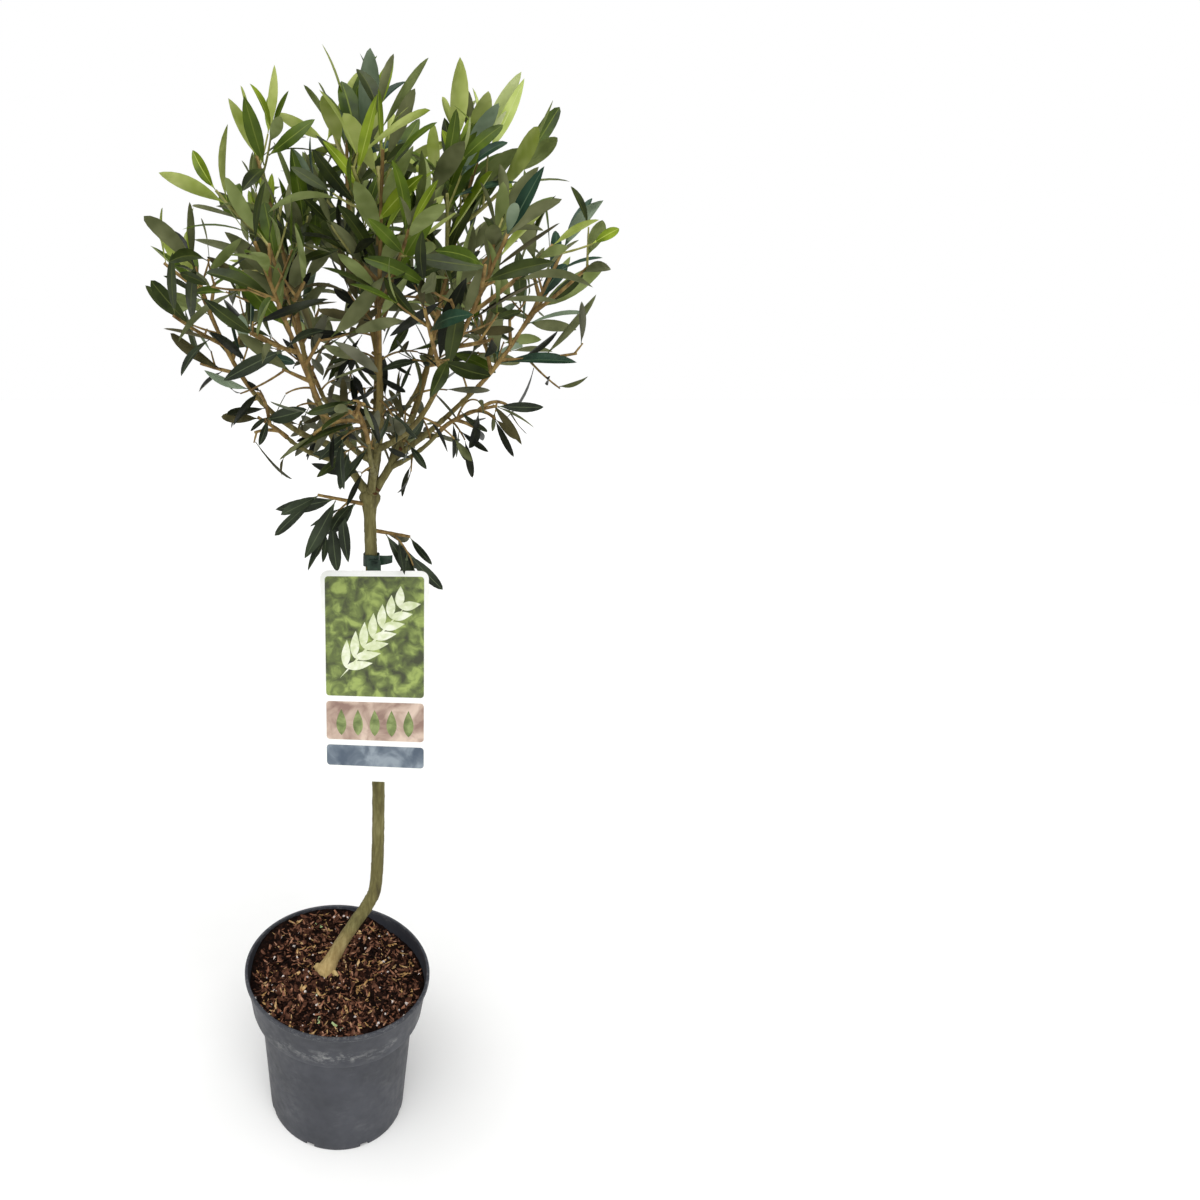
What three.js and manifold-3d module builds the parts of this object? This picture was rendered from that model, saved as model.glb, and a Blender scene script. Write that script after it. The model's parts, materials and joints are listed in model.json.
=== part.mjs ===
// Potted olive tree: a small standard olive with an open round crown, growing in a 19 cm nursery pot.
// Millimetres, +Z up. The origin is the middle of the pot's flat underside. Seen from the front,
// +X is to the right and +Y to the back.

import * as THREE from 'three';
import { mergeVertices } from 'three/addons/utils/BufferGeometryUtils.js';
import Module from 'manifold-3d';

const wasm = await Module();
wasm.setup();

const UP = new THREE.Vector3(0, 0, 1);
const DEGREE = Math.PI / 180;
// The turn from one side shoot to the next round its stem, which fills the space evenly
const GOLDEN_TURN = 137.5 * DEGREE;

// Gap between neighbours that touch on the real plant
const CLEARANCE = 0.3;

// Driving sizes of the pot
const POT = {
  height: 167,
  rimRadius: 95,
  rimDepth: 5,
  rimLip: 1.6,
  collarHeight: 42,
  collarFootRadius: 88,
  bodyTop: 118,
  bodyTopRadius: 79,
  footRadius: 72,
  wall: 1.6,
  floor: 2.5,
  footRound: 1.5,
  rimRound: 0.8,
  sides: 32,
};
const DRAIN = { count: 8, width: 9, height: 4, depth: 6 };

// The potting mix stands 15 mm below the rim, uneven but for a flat place at the trunk's foot
const SOIL = {
  level: 152,
  unevenness: 2.5,
  rings: [72, 50, 26],
  wallFade: 12,
  footFade: [30, 45],
};

// The trunk. It leans out of the mix to the right, straightens, and ends in a knobbly fork
const TRUNK = {
  footRadius: 6.6,
  topRadius: 5.2,
  flare: 3.2,
  flareHeight: 9,
  knob: 3.2,
  knobHeight: 9,
  roundedTop: 6,
  leastTop: 0.04,
  sides: 9,
  steps: 26,
};
const TRUNK_LINE = [
  [-21, 5, 138],
  [-11.5, 9, 153],
  [3, 15, 179],
  [19, 20, 204],
  [33, 23, 226],
  [40, 23, 252],
  [41, 21, 330],
  [38, 15, 440],
  [32, 8, 560],
  [28, 3, 640],
  [28, 2, 664],
];
const FORK = new THREE.Vector3(28, 2, 655);
// The pale callus beside the trunk's foot
const CALLUS = { place: [-19.5, 11, 153], radius: 5 };

// Boughs: each grows from the fork, or from a place along another bough, to its tip, and its middle
// is bowed sideways. The columns are its name, what carries it and where along that, its tip, its bow,
// and its radii at foot and tip.
const BOUGHS = [
  ['bough_left', null, 0, [-28, -12, 782], [-9, -2, 0], [3.6, 2]],
  ['bough_right', null, 0, [76, -6, 782], [6, -2, -6], [3.7, 2]],
  ['bough_front', null, 0, [32, -44, 774], [2, -8, -6], [3.4, 2]],
  ['bough_back', null, 0, [34, 46, 786], [2, 8, -6], [3.4, 2]],
  ['bough_leader', null, 0, [20, 4, 820], [12, 4, 0], [3.2, 1.9]],
  ['bough_left_outer', 'bough_left', 0.34, [-68, -13, 744], [-4, 0, -6], [2.6, 1.8]],
  ['bough_left_low', 'bough_left', 0.24, [-40, -22, 708], [-3, -2, -3], [2, 1.5]],
  ['bough_right_outer', 'bough_right', 0.32, [114, -1, 746], [-2, 0, -5], [2.6, 1.8]],
  ['bough_right_low', 'bough_right', 0.24, [82, -20, 712], [2, -2, -2], [2, 1.5]],
  ['bough_front_left', 'bough_front', 0.32, [-14, -56, 740], [-4, -4, -4], [2.5, 1.8]],
  ['bough_front_right', 'bough_front', 0.42, [72, -61, 744], [4, -4, -4], [2.4, 1.8]],
  ['bough_front_low', 'bough_front', 0.22, [24, -54, 708], [0, -4, -3], [2, 1.5]],
  ['bough_back_left', 'bough_back', 0.32, [-16, 56, 742], [-4, 4, -4], [2.5, 1.8]],
  ['bough_back_right', 'bough_back', 0.42, [74, 63, 746], [4, 4, -4], [2.4, 1.8]],
  ['bough_back_low', 'bough_back', 0.22, [22, 56, 712], [-2, 4, -3], [2, 1.5]],
].map(([name, from, at, end, bow, radii]) => ({ name, from, at, end, bow, radii }));
const BOUGH_SIDES = 6;
const BOUGH_STEPS = 4;

// Masses of leaves. The columns are the mass's name, its bough, where its stem reaches to, how many
// side shoots it has and their length, their rise, and the length of a full leaf. A rise above 0
// turns shoots and leaves upward, and one below 0 lets them hang.
const MASSES = [
  ['leaves_top', 'bough_leader', [8, 2, 942], 4, 68, 0.7, 60],
  ['leaves_left', 'bough_left', [-60, -10, 914], 6, 82, 0.5, 62],
  ['leaves_right', 'bough_right', [106, -8, 916], 6, 82, 0.5, 62],
  ['leaves_front', 'bough_front', [30, -90, 904], 6, 82, 0.4, 62],
  ['leaves_back', 'bough_back', [36, 90, 916], 6, 82, 0.5, 62],
  ['leaves_left_outer', 'bough_left_outer', [-114, -18, 862], 7, 80, 0.25, 62],
  ['leaves_right_outer', 'bough_right_outer', [178, 0, 856], 7, 80, 0.25, 62],
  ['leaves_front_left', 'bough_front_left', [-54, -112, 846], 7, 82, 0.25, 62],
  ['leaves_front_right', 'bough_front_right', [110, -118, 850], 7, 82, 0.25, 62],
  ['leaves_back_left', 'bough_back_left', [-56, 112, 850], 7, 82, 0.25, 62],
  ['leaves_back_right', 'bough_back_right', [114, 118, 852], 7, 82, 0.25, 62],
  ['leaves_left_low', 'bough_left_low', [-84, -34, 736], 4, 52, -0.9, 56],
  ['leaves_right_low', 'bough_right_low', [126, -30, 734], 4, 52, -0.9, 56],
  ['leaves_front_low', 'bough_front_low', [8, -94, 736], 4, 50, -0.9, 54],
  ['leaves_back_low', 'bough_back_low', [12, 96, 738], 4, 52, -0.9, 56],
].map(([name, bough, reach, shoots, spread, rise, leaf]) => (
  { name, bough, reach, shoots, spread, rise, leaf }
));

// The crown's outline, which no leaf on a bough reaches past
const CROWN = { centre: [33, 0, 820], radii: [192, 182, 176] };

// The rule that every mass grows by. Lengths are in millimetres and angles in degrees; pairs are the
// values at a twig's foot and tip, or the least and the most that luck gives. A leaf's own sizes are
// shares of its length. `tries` are the turns and shares of its angle that a leaf takes, one by one.
const RULE = {
  seed: 2700,
  spaceGap: 0.8,
  heartAlong: 0.4,
  stemSpring: 0.4,
  stemFoot: 30,
  stemRadii: [2, 1.2],
  shootRadii: [1.7, 1.1],
  firstShoot: 0.1,
  lastShoot: 0.86,
  shootAngle: [58, 36],
  shootShrink: 0.35,
  leastShoot: 0.4,
  lengthLuck: [0.88, 1.12],
  angleLuck: [0.9, 1.1],
  checks: 12,
  heldFoot: 0.2,
  bareFoot: 15,
  bareTip: 5,
  internode: 18.5,
  leafAngle: [58, 30],
  leafRise: 0.4,
  youngRise: 0.3,
  leafRoll: 70,
  tipAngle: 20,
  tipAlong: 0.985,
  leafVariation: 0.16,
  tipLeaf: 0.78,
  leafWidth: 0.26,
  leafThickness: 0.02,
  leafWidest: 0.45,
  leafFold: 0.1,
  leafSunk: 0.35,
  leafGap: 0.6,
  bladeFoot: 0.3,
  bladeWidth: 0.4,
  tries: [[0, 1], [30, 1], [-30, 1], [0, 0.5], [60, 0.8], [-60, 0.8]],
};
const TWIG_SIDES = 3;
const TWIG_STEP = 38;

// Sprigs: small masses whose stem springs straight from the trunk. The columns are the sprig's name,
// the height of its root, where it reaches to, its rise, and the length of a full leaf.
const SPRIGS = [
  ['sprig_left', 648, [-16, -14, 660], -2, 62],
  ['sprig_right', 626, [64, 12, 618], -1.6, 62],
].map(([name, root, reach, rise, leaf]) => ({ name, root, reach, rise, leaf, shoots: 0, spread: 0 }));

// The plant label hangs from a strap under a band round the trunk. It hangs a little askew:
// turned to the left, its lower edge out to the front.
const LABEL = {
  width: 95,
  height: 190,
  thickness: 0.8,
  corner: 7,
  top: [31.9, -6, 592],
  lean: -10.3 * DEGREE,
  turn: -9 * DEGREE,
  roll: -2.3 * DEGREE,
};
// The band, its strap's width, thickness and drop, and the short bridge between them
const TIE = {
  level: 599,
  height: 10,
  thickness: 1.1,
  ease: 0.4,
  sides: 14,
  strap: [12, 1, 20],
  bridge: 5,
};

const COLOURS = {
  pot: { color: 0x4b4d52, roughness: 0.62 },
  soil: { color: 0x3a2118, roughness: 0.98 },
  bark: { color: 0x77694b, roughness: 0.9 },
  bough: { color: 0x85704c, roughness: 0.88 },
  leaves: { color: 0x4d6038, roughness: 0.6 },
  youngLeaves: { color: 0x7d9148, roughness: 0.6 },
  oldLeaves: { color: 0x35442f, roughness: 0.6 },
  label: { color: 0xeceee8, roughness: 0.4 },
  tie: { color: 0x24402c, roughness: 0.6 },
};

function material(look) {
  return new THREE.MeshStandardMaterial({ metalness: 0, ...look });
}

// A vector from a list of three numbers
function vector(list) {
  return new THREE.Vector3(...list);
}

// The solid inside a closed geometry
function solidOf(geometry) {
  const bare = geometry.clone();
  bare.deleteAttribute('normal');
  bare.deleteAttribute('uv');
  const merged = mergeVertices(bare, 1e-4);
  const corners = merged.index.array;
  const faces = [];
  for (let i = 0; i < corners.length; i += 3) {
    const [a, b, c] = corners.slice(i, i + 3);
    if (a !== b && b !== c && c !== a) faces.push(a, b, c);
  }
  return new wasm.Manifold(new wasm.Mesh({
    numProp: 3,
    vertProperties: merged.getAttribute('position').array,
    triVerts: Uint32Array.from(faces),
  }));
}

function meshOf(name, solid, look) {
  const { vertProperties, triVerts } = solid.getMesh();
  const geometry = new THREE.BufferGeometry();
  geometry.setAttribute('position', new THREE.BufferAttribute(vertProperties, 3));
  geometry.setIndex(new THREE.BufferAttribute(triVerts, 1));
  geometry.computeVertexNormals();
  const mesh = new THREE.Mesh(geometry, material(look));
  mesh.name = name;
  return mesh;
}

// The largest body of a solid, without loose scraps and sealed hollows
function largestBody(solid) {
  return solid.decompose().reduce((best, body) => (body.volume() > best.volume() ? body : best));
}

// Random numbers from 0 to 1 that are the same for the same seed
function randomFrom(seed) {
  let state = seed;
  return () => {
    state = (state + 0x6d2b79f5) | 0;
    let mixed = Math.imul(state ^ (state >>> 15), state | 1);
    mixed ^= mixed + Math.imul(mixed ^ (mixed >>> 7), mixed | 61);
    return ((mixed ^ (mixed >>> 14)) >>> 0) / 4294967296;
  };
}

function blend(range, share) {
  return range[0] + (range[1] - range[0]) * share;
}

// Rings round a curve from its start to `end`, each turned as little as possible from the last
function ringFrames(curve, steps, end = 1) {
  const over = new THREE.Vector3(0.31, 0.17, 0.94);
  const frames = [];
  for (let i = 0; i <= steps; i++) {
    const along = (end * i) / steps;
    const tangent = curve.getTangent(along);
    over.addScaledVector(tangent, -over.dot(tangent)).normalize();
    frames.push({
      centre: curve.getPoint(along),
      over: over.clone(),
      across: new THREE.Vector3().crossVectors(tangent, over),
    });
  }
  return frames;
}

// A round limb along a curve: a cylinder whose rings are moved on to the curve
function limbSolid(curve, radiusAt, sides, steps, end = 1) {
  const geometry = new THREE.CylinderGeometry(1, 1, 1, sides, steps);
  const frames = ringFrames(curve, steps, end);
  const position = geometry.getAttribute('position');
  const point = new THREE.Vector3();
  for (let i = 0; i < position.count; i++) {
    const along = position.getY(i) + 0.5;
    const { centre, over, across } = frames[Math.round(along * steps)];
    const radius = radiusAt(along, centre);
    point.copy(centre);
    point.addScaledVector(across, position.getX(i) * radius);
    point.addScaledVector(over, position.getZ(i) * radius);
    position.setXYZ(i, point.x, point.y, point.z);
  }
  return solidOf(geometry);
}

// A lathe geometry turned up so that its axis is Z
function turned(profile, sides) {
  const points = profile.map(([radius, height]) => new THREE.Vector2(radius, height));
  return new THREE.LatheGeometry(points, sides).rotateX(Math.PI / 2);
}

// The inside radius of the pot at a height
function potInside(height) {
  const collarFoot = POT.height - POT.collarHeight;
  const rise = (height - collarFoot) / (POT.collarHeight - POT.rimDepth);
  if (rise >= 0) return blend([POT.collarFootRadius, POT.rimRadius - POT.rimLip], rise) - POT.wall;
  return blend([POT.footRadius, POT.bodyTopRadius], height / POT.bodyTop) - POT.wall;
}

function makePot() {
  const { height, rimRadius, rimRound, collarFootRadius, bodyTop, bodyTopRadius } = POT;
  const { footRadius, footRound, wall, floor } = POT;
  const collarFoot = height - POT.collarHeight;
  const rimFoot = height - POT.rimDepth;
  const wallTop = rimRadius - POT.rimLip;
  const pot = solidOf(turned([
    [0, 0],
    [footRadius - footRound, 0],
    [footRadius, footRound],
    [bodyTopRadius, bodyTop],
    [collarFootRadius, collarFoot],
    [wallTop, rimFoot],
    [rimRadius, rimFoot + rimRound],
    [rimRadius, height - rimRound],
    [rimRadius - rimRound, height],
    [wallTop - wall + rimRound, height],
    [wallTop - wall, height - rimRound],
    [wallTop - wall, rimFoot],
    [collarFootRadius - wall, collarFoot],
    [bodyTopRadius - wall, bodyTop],
    [potInside(floor), floor],
    [0, floor],
  ], POT.sides));
  const drains = [];
  for (let i = 0; i < DRAIN.count; i++) {
    const notch = new THREE.BoxGeometry(2 * DRAIN.depth, DRAIN.width, 2 * DRAIN.height);
    notch.translate(footRadius, 0, 0).rotateZ(((i + 0.5) * 2 * Math.PI) / DRAIN.count);
    drains.push(solidOf(notch));
  }
  return pot.subtract(wasm.Manifold.union(drains));
}

// Height of the potting mix: gentle mounds that die out at the pot's wall and at the trunk's foot
function soilHeight(x, y) {
  const [footX, footY] = TRUNK_LINE[1];
  const nearWall = THREE.MathUtils.smoothstep(SOIL.rings[0] - Math.hypot(x, y), 0, SOIL.wallFade);
  const nearFoot = THREE.MathUtils.smoothstep(Math.hypot(x - footX, y - footY), ...SOIL.footFade);
  const mound = Math.sin(x / 17 + 1.3) * Math.cos(y / 14 - 0.4) + 0.5 * Math.sin((x + y) / 9);
  return SOIL.level + SOIL.unevenness * mound * nearWall * nearFoot;
}

function makeSoil() {
  const collarFoot = POT.height - POT.collarHeight;
  const bottom = POT.floor + CLEARANCE;
  const profile = [
    [0, bottom],
    [potInside(POT.floor) - CLEARANCE, bottom],
    [potInside(POT.bodyTop) - CLEARANCE, POT.bodyTop + CLEARANCE],
    [potInside(collarFoot) - CLEARANCE, collarFoot + CLEARANCE],
    [potInside(SOIL.level) - CLEARANCE, SOIL.level],
    ...SOIL.rings.map((radius) => [radius, SOIL.level]),
    [0, SOIL.level],
  ];
  const geometry = turned(profile, POT.sides);
  const position = geometry.getAttribute('position');
  for (let i = 0; i < position.count; i++) {
    const [x, y, z] = [position.getX(i), position.getY(i), position.getZ(i)];
    if (z > SOIL.level - 0.01) position.setZ(i, soilHeight(x, y));
  }
  return solidOf(geometry);
}

const trunkCurve = new THREE.CatmullRomCurve3(TRUNK_LINE.map(vector), false, 'catmullrom', 0.5);

// The place on the trunk's line at a height
function onTrunk(height) {
  const next = trunkCurve.points.findIndex((point) => point.z > height);
  const [below, above] = [trunkCurve.points[next - 1], trunkCurve.points[next]];
  return below.clone().lerp(above, (height - below.z) / (above.z - below.z));
}

function trunkRadius(height) {
  const foot = SOIL.level + CLEARANCE;
  const top = trunkCurve.points.at(-1).z;
  const rise = THREE.MathUtils.clamp((height - foot) / (top - foot), 0, 1);
  const flare = TRUNK.flare * Math.exp(-Math.max(height - foot, 0) / TRUNK.flareHeight);
  const knob = TRUNK.knob * Math.exp(-(((height - FORK.z) / TRUNK.knobHeight) ** 2));
  const below = THREE.MathUtils.clamp((top - height) / TRUNK.roundedTop, TRUNK.leastTop, 1);
  const round = Math.sqrt(below * (2 - below));
  return (blend([TRUNK.footRadius, TRUNK.topRadius], rise) + flare + knob) * round;
}

function trunkSolid(grown = 0) {
  const radiusAt = (along, centre) => trunkRadius(centre.z) + grown;
  return limbSolid(trunkCurve, radiusAt, TRUNK.sides, TRUNK.steps);
}

// The trunk with its callus, cut flat at the level of the mix
function makeTrunk() {
  const callus = new THREE.IcosahedronGeometry(CALLUS.radius, 1).translate(...CALLUS.place);
  const side = 2 * POT.rimRadius;
  const below = new THREE.BoxGeometry(side, side, side);
  below.translate(0, 0, SOIL.level + CLEARANCE - side / 2);
  return largestBody(trunkSolid().add(solidOf(callus)).subtract(solidOf(below)));
}

// A bough's curve starts on the line of what carries it
function boughCurve(bough, curves) {
  const start = bough.from ? curves.get(bough.from).getPoint(bough.at) : FORK.clone();
  const end = vector(bough.end);
  const middle = start.clone().add(end).multiplyScalar(0.5).addScaledVector(vector(bough.bow), 2);
  return new THREE.QuadraticBezierCurve3(start, middle, end);
}

function boughSolid(curve, radii, grown = 0) {
  return limbSolid(curve, (along) => blend(radii, along) + grown, BOUGH_SIDES, BOUGH_STEPS);
}

const boughCurves = new Map();
for (const bough of BOUGHS) boughCurves.set(bough.name, boughCurve(bough, boughCurves));

// Each bough is cut clear of the trunk and of the boughs before it
function makeBoughs() {
  const made = new Map();
  let taken = trunkSolid(CLEARANCE);
  for (const bough of BOUGHS) {
    const curve = boughCurves.get(bough.name);
    made.set(bough.name, largestBody(boughSolid(curve, bough.radii).subtract(taken)));
    taken = taken.add(boughSolid(curve, bough.radii, CLEARANCE));
  }
  return made;
}

// Straight pieces of every limb with their radii, which the leaves keep clear of
function limbPieces(curve, radiusAt, steps) {
  const pieces = [];
  for (let i = 0; i < steps; i++) {
    const [from, to] = [curve.getPoint(i / steps), curve.getPoint((i + 1) / steps)];
    const radius = Math.max(radiusAt(i / steps, from), radiusAt((i + 1) / steps, to));
    pieces.push({ from, to, radius });
  }
  return pieces;
}

const limbs = limbPieces(trunkCurve, (along, centre) => trunkRadius(centre.z), TRUNK.steps);
for (const bough of BOUGHS) {
  const radiusAt = (along) => blend(bough.radii, along);
  limbs.push(...limbPieces(boughCurves.get(bough.name), radiusAt, BOUGH_STEPS));
}

// The shortest distance between the straight lines a-b and c-d
function lineGap(a, b, c, d) {
  const first = b.clone().sub(a);
  const second = d.clone().sub(c);
  const between = a.clone().sub(c);
  const aa = first.lengthSq();
  const bb = second.lengthSq();
  const ab = first.dot(second);
  const ac = first.dot(between);
  const bc = second.dot(between);
  const spread = aa * bb - ab * ab;
  let onFirst = spread > 1e-9 ? THREE.MathUtils.clamp((ab * bc - ac * bb) / spread, 0, 1) : 0;
  const onSecond = THREE.MathUtils.clamp((ab * onFirst + bc) / bb, 0, 1);
  onFirst = THREE.MathUtils.clamp((ab * onSecond - ac) / aa, 0, 1);
  return between.addScaledVector(first, onFirst).addScaledVector(second, -onSecond).length();
}

function clearOfLimbs(from, to, halfWidth) {
  const least = halfWidth + CLEARANCE;
  return limbs.every((limb) => lineGap(from, to, limb.from, limb.to) > limb.radius + least);
}

// Whether a leaf's blade runs clear of the blades before it
function clearOfLeaves(leaf, leaves) {
  const gap = RULE.leafGap * RULE.leafWidth * leaf.length;
  return leaves.every((other) => lineGap(...leaf.blade, ...other.blade) > gap);
}

// A mass's stem: it leaves its bough's tip, or the trunk, and bends toward its reach
function massStem(mass) {
  let start;
  let heading;
  if (mass.bough) {
    const bough = boughCurves.get(mass.bough);
    heading = bough.getTangent(1);
    start = bough.getPoint(1).addScaledVector(heading, CLEARANCE);
  } else {
    start = onTrunk(mass.root);
    heading = vector(mass.reach).sub(start).normalize();
  }
  const end = vector(mass.reach);
  const bend = start.clone().addScaledVector(heading, RULE.stemSpring * start.distanceTo(end));
  return new THREE.QuadraticBezierCurve3(start, bend, end);
}

// Each mass owns the space that lies nearer to its heart than to any other mass's heart.
// A wall is the plane half way to one other heart.
function setSpaces(masses) {
  for (const mass of masses) {
    mass.stem = massStem(mass);
    mass.heart = mass.stem.getPoint(0).lerp(mass.stem.getPoint(1), RULE.heartAlong);
  }
  for (const mass of masses) {
    mass.walls = masses.filter((other) => other !== mass).map((other) => {
      const outward = other.heart.clone().sub(mass.heart).normalize();
      const middle = mass.heart.clone().lerp(other.heart, 0.5);
      return { outward, limit: outward.dot(middle) - RULE.spaceGap / 2 };
    });
  }
}

function inSpace(point, mass, margin = 0) {
  return mass.walls.every((wall) => wall.outward.dot(point) + margin < wall.limit);
}

function inCrown(point, mass) {
  const share = (axis) => (point.getComponent(axis) - CROWN.centre[axis]) / CROWN.radii[axis];
  return !mass.bough || Math.hypot(share(0), share(1), share(2)) < 1;
}

// The corners of a leaf: foot, tip, two sides, top and bottom of the midrib
function leafCorners(leaf) {
  const { foot, along, across, face, length } = leaf;
  const width = length * RULE.leafWidth;
  const thick = length * RULE.leafThickness;
  const corner = (ahead, aside, above) => foot.clone()
    .addScaledVector(along, ahead * length)
    .addScaledVector(across, aside * width)
    .addScaledVector(face, above);
  const fold = RULE.leafFold * width;
  const widest = RULE.leafWidest;
  return [
    corner(1, 0, 0),
    corner(0, 0, 0),
    corner(widest, 0.5, fold),
    corner(widest, -0.5, fold),
    corner(widest, 0, thick / 2),
    corner(widest, 0, -thick / 2),
  ];
}

// An octahedron's six corners, in three.js's order, moved to the leaf's corners
function leafSolid(leaf) {
  const geometry = new THREE.OctahedronGeometry(1, 0);
  const position = geometry.getAttribute('position');
  const corners = leafCorners(leaf);
  for (let i = 0; i < position.count; i++) {
    const place = [position.getX(i), position.getY(i), position.getZ(i)];
    const axis = place.findIndex((value) => Math.abs(value) > 0.5);
    const corner = corners[2 * axis + (place[axis] > 0 ? 0 : 1)];
    position.setXYZ(i, corner.x, corner.y, corner.z);
  }
  return solidOf(geometry);
}

// A direction leaning `angle` away from `axis`, turned by `turn` round it
function leaning(axis, over, angle, turn) {
  const across = new THREE.Vector3().crossVectors(axis, over).normalize();
  const square = new THREE.Vector3().crossVectors(across, axis);
  const sideways = across.multiplyScalar(Math.cos(turn)).addScaledVector(square, Math.sin(turn));
  return axis.clone().multiplyScalar(Math.cos(angle)).addScaledVector(sideways, Math.sin(angle));
}

// A twig is made of straight pieces. It is cut short at the share `end` of its curve.
function makeTwig(curve, radii, end) {
  const steps = Math.max(1, Math.round((curve.getLength() * end) / TWIG_STEP));
  return { curve, radii, end, steps, length: curve.getLength() };
}

// The place on a twig's axis at a share of its curve, and the way it heads there
function onTwig(twig, along) {
  const step = Math.min(Math.floor((along / twig.end) * twig.steps), twig.steps - 1);
  const from = twig.curve.getPoint((twig.end * step) / twig.steps);
  const to = twig.curve.getPoint((twig.end * (step + 1)) / twig.steps);
  const place = from.clone().lerp(to, (along / twig.end) * twig.steps - step);
  return { place, axis: to.sub(from).normalize() };
}

// One leaf on a twig at a share of its length. It is turned to the next of a few places round
// the twig until it stays in the mass's space and off the limbs, and is skipped if none does.
function growLeaf(mass, twig, along, angle, turn, roll, length, leaves) {
  const { place, axis } = onTwig(twig, along);
  const radius = blend(twig.radii, along / twig.end);
  for (const [extra, share] of RULE.tries) {
    const out = leaning(axis, UP, angle * share, turn + extra * DEGREE);
    out.addScaledVector(UP, RULE.leafRise * mass.rise).normalize();
    const across = new THREE.Vector3().crossVectors(axis, out).normalize();
    across.applyAxisAngle(out, roll);
    const face = new THREE.Vector3().crossVectors(out, across);
    const foot = place.clone().addScaledVector(out, -RULE.leafSunk * radius);
    const leaf = { foot, along: out, across, face, length };
    const corners = leafCorners(leaf);
    const halfWidth = RULE.bladeWidth * RULE.leafWidth * length;
    leaf.blade = [place.clone().addScaledVector(out, RULE.bladeFoot * length), corners[0]];
    if (!corners.every((corner) => inSpace(corner, mass))) continue;
    if (!inCrown(corners[0], mass)) continue;
    if (clearOfLeaves(leaf, leaves) && clearOfLimbs(...leaf.blade, halfWidth)) return leaf;
  }
  return null;
}

// Pairs of leaves up a twig, each pair a quarter turn from the last, and a tuft at its tip
function growLeaves(mass, twig, random, bareFoot, leaves) {
  const spread = (share) => 1 + RULE.leafVariation * (2 * share - 1);
  const turn = 2 * Math.PI * random();
  const place = (along, angle, around, size) => {
    const full = mass.leaf * size * spread(random());
    const lean = angle * DEGREE * spread(random());
    const roll = (random() - 0.5) * RULE.leafRoll * DEGREE;
    if (along > twig.end) return;
    const leaf = growLeaf(mass, twig, along, lean, around, roll, full, leaves);
    if (leaf) leaves.push(leaf);
  };
  let pair = 0;
  for (let at = bareFoot; at < twig.length - RULE.bareTip; at += RULE.internode) {
    const along = at / twig.length;
    for (const side of [0, Math.PI]) {
      place(along, blend(RULE.leafAngle, along), turn + side + (pair * Math.PI) / 2, 1);
    }
    pair += 1;
  }
  for (const side of [0, Math.PI]) {
    const around = turn + side + (pair * Math.PI) / 2;
    place(RULE.tipAlong * twig.end, RULE.tipAngle, around, RULE.tipLeaf);
  }
}

// How far along a twig stays in its mass's space and off the limbs
function twigEnd(mass, curve, radius) {
  const { checks, heldFoot } = RULE;
  let end = 0;
  for (let i = 1; i <= checks; i++) {
    const along = i / checks;
    const [from, to] = [curve.getPoint((i - 1) / checks), curve.getPoint(along)];
    if (!inSpace(to, mass, radius)) break;
    if (i > heldFoot * checks && !clearOfLimbs(from, to, radius)) break;
    end = along;
  }
  return end;
}

// All twigs and leaves of one mass
function growMass(mass) {
  const stem = makeTwig(mass.stem, RULE.stemRadii, 1);
  const stemRandom = randomFrom(100 * mass.seed);
  const firstTurn = 2 * Math.PI * stemRandom();
  const twigs = [stem];
  const leaves = [];
  growLeaves(mass, stem, stemRandom, mass.bough ? RULE.stemFoot : RULE.bareFoot, leaves);
  for (let i = 0; i < mass.shoots; i++) {
    const random = randomFrom(100 * mass.seed + i + 1);
    const along = blend([RULE.firstShoot, RULE.lastShoot], (i + 0.5) / mass.shoots);
    const full = mass.spread * (1 - RULE.shootShrink * along);
    const length = full * blend(RULE.lengthLuck, random());
    const angle = blend(RULE.shootAngle, along) * DEGREE * blend(RULE.angleLuck, random());
    const { place: start, axis } = onTwig(stem, along);
    const out = leaning(axis, UP, angle, firstTurn + i * GOLDEN_TURN);
    const bend = start.clone().addScaledVector(out, length / 2);
    const onward = out.clone().addScaledVector(UP, mass.rise).normalize();
    const end = bend.clone().addScaledVector(onward, length / 2);
    const curve = new THREE.QuadraticBezierCurve3(start, bend, end);
    const grown = twigEnd(mass, curve, RULE.shootRadii[0]);
    if (grown < RULE.leastShoot) continue;
    const shoot = makeTwig(curve, RULE.shootRadii, grown);
    twigs.push(shoot);
    growLeaves(mass, shoot, random, RULE.bareFoot, leaves);
  }
  return { twigs, leaves };
}

// Young leaves stand up at the crown's top, and old ones hang at its foot
function massLook(mass) {
  if (mass.rise < 0) return COLOURS.oldLeaves;
  return mass.rise > RULE.youngRise ? COLOURS.youngLeaves : COLOURS.leaves;
}

function twigSolid(twig) {
  const radiusAt = (along) => blend(twig.radii, along);
  return limbSolid(twig.curve, radiusAt, TWIG_SIDES, twig.steps, twig.end);
}

// A mass as one solid: its twigs with the leaves fused on
function makeMass(mass, trunkSpace) {
  const { twigs, leaves } = growMass(mass);
  const pieces = [...twigs.map(twigSolid), ...leaves.map(leafSolid)];
  const fused = wasm.Manifold.union(pieces);
  return largestBody(mass.bough ? fused : fused.subtract(trunkSpace)).simplify(0.01);
}

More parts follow.
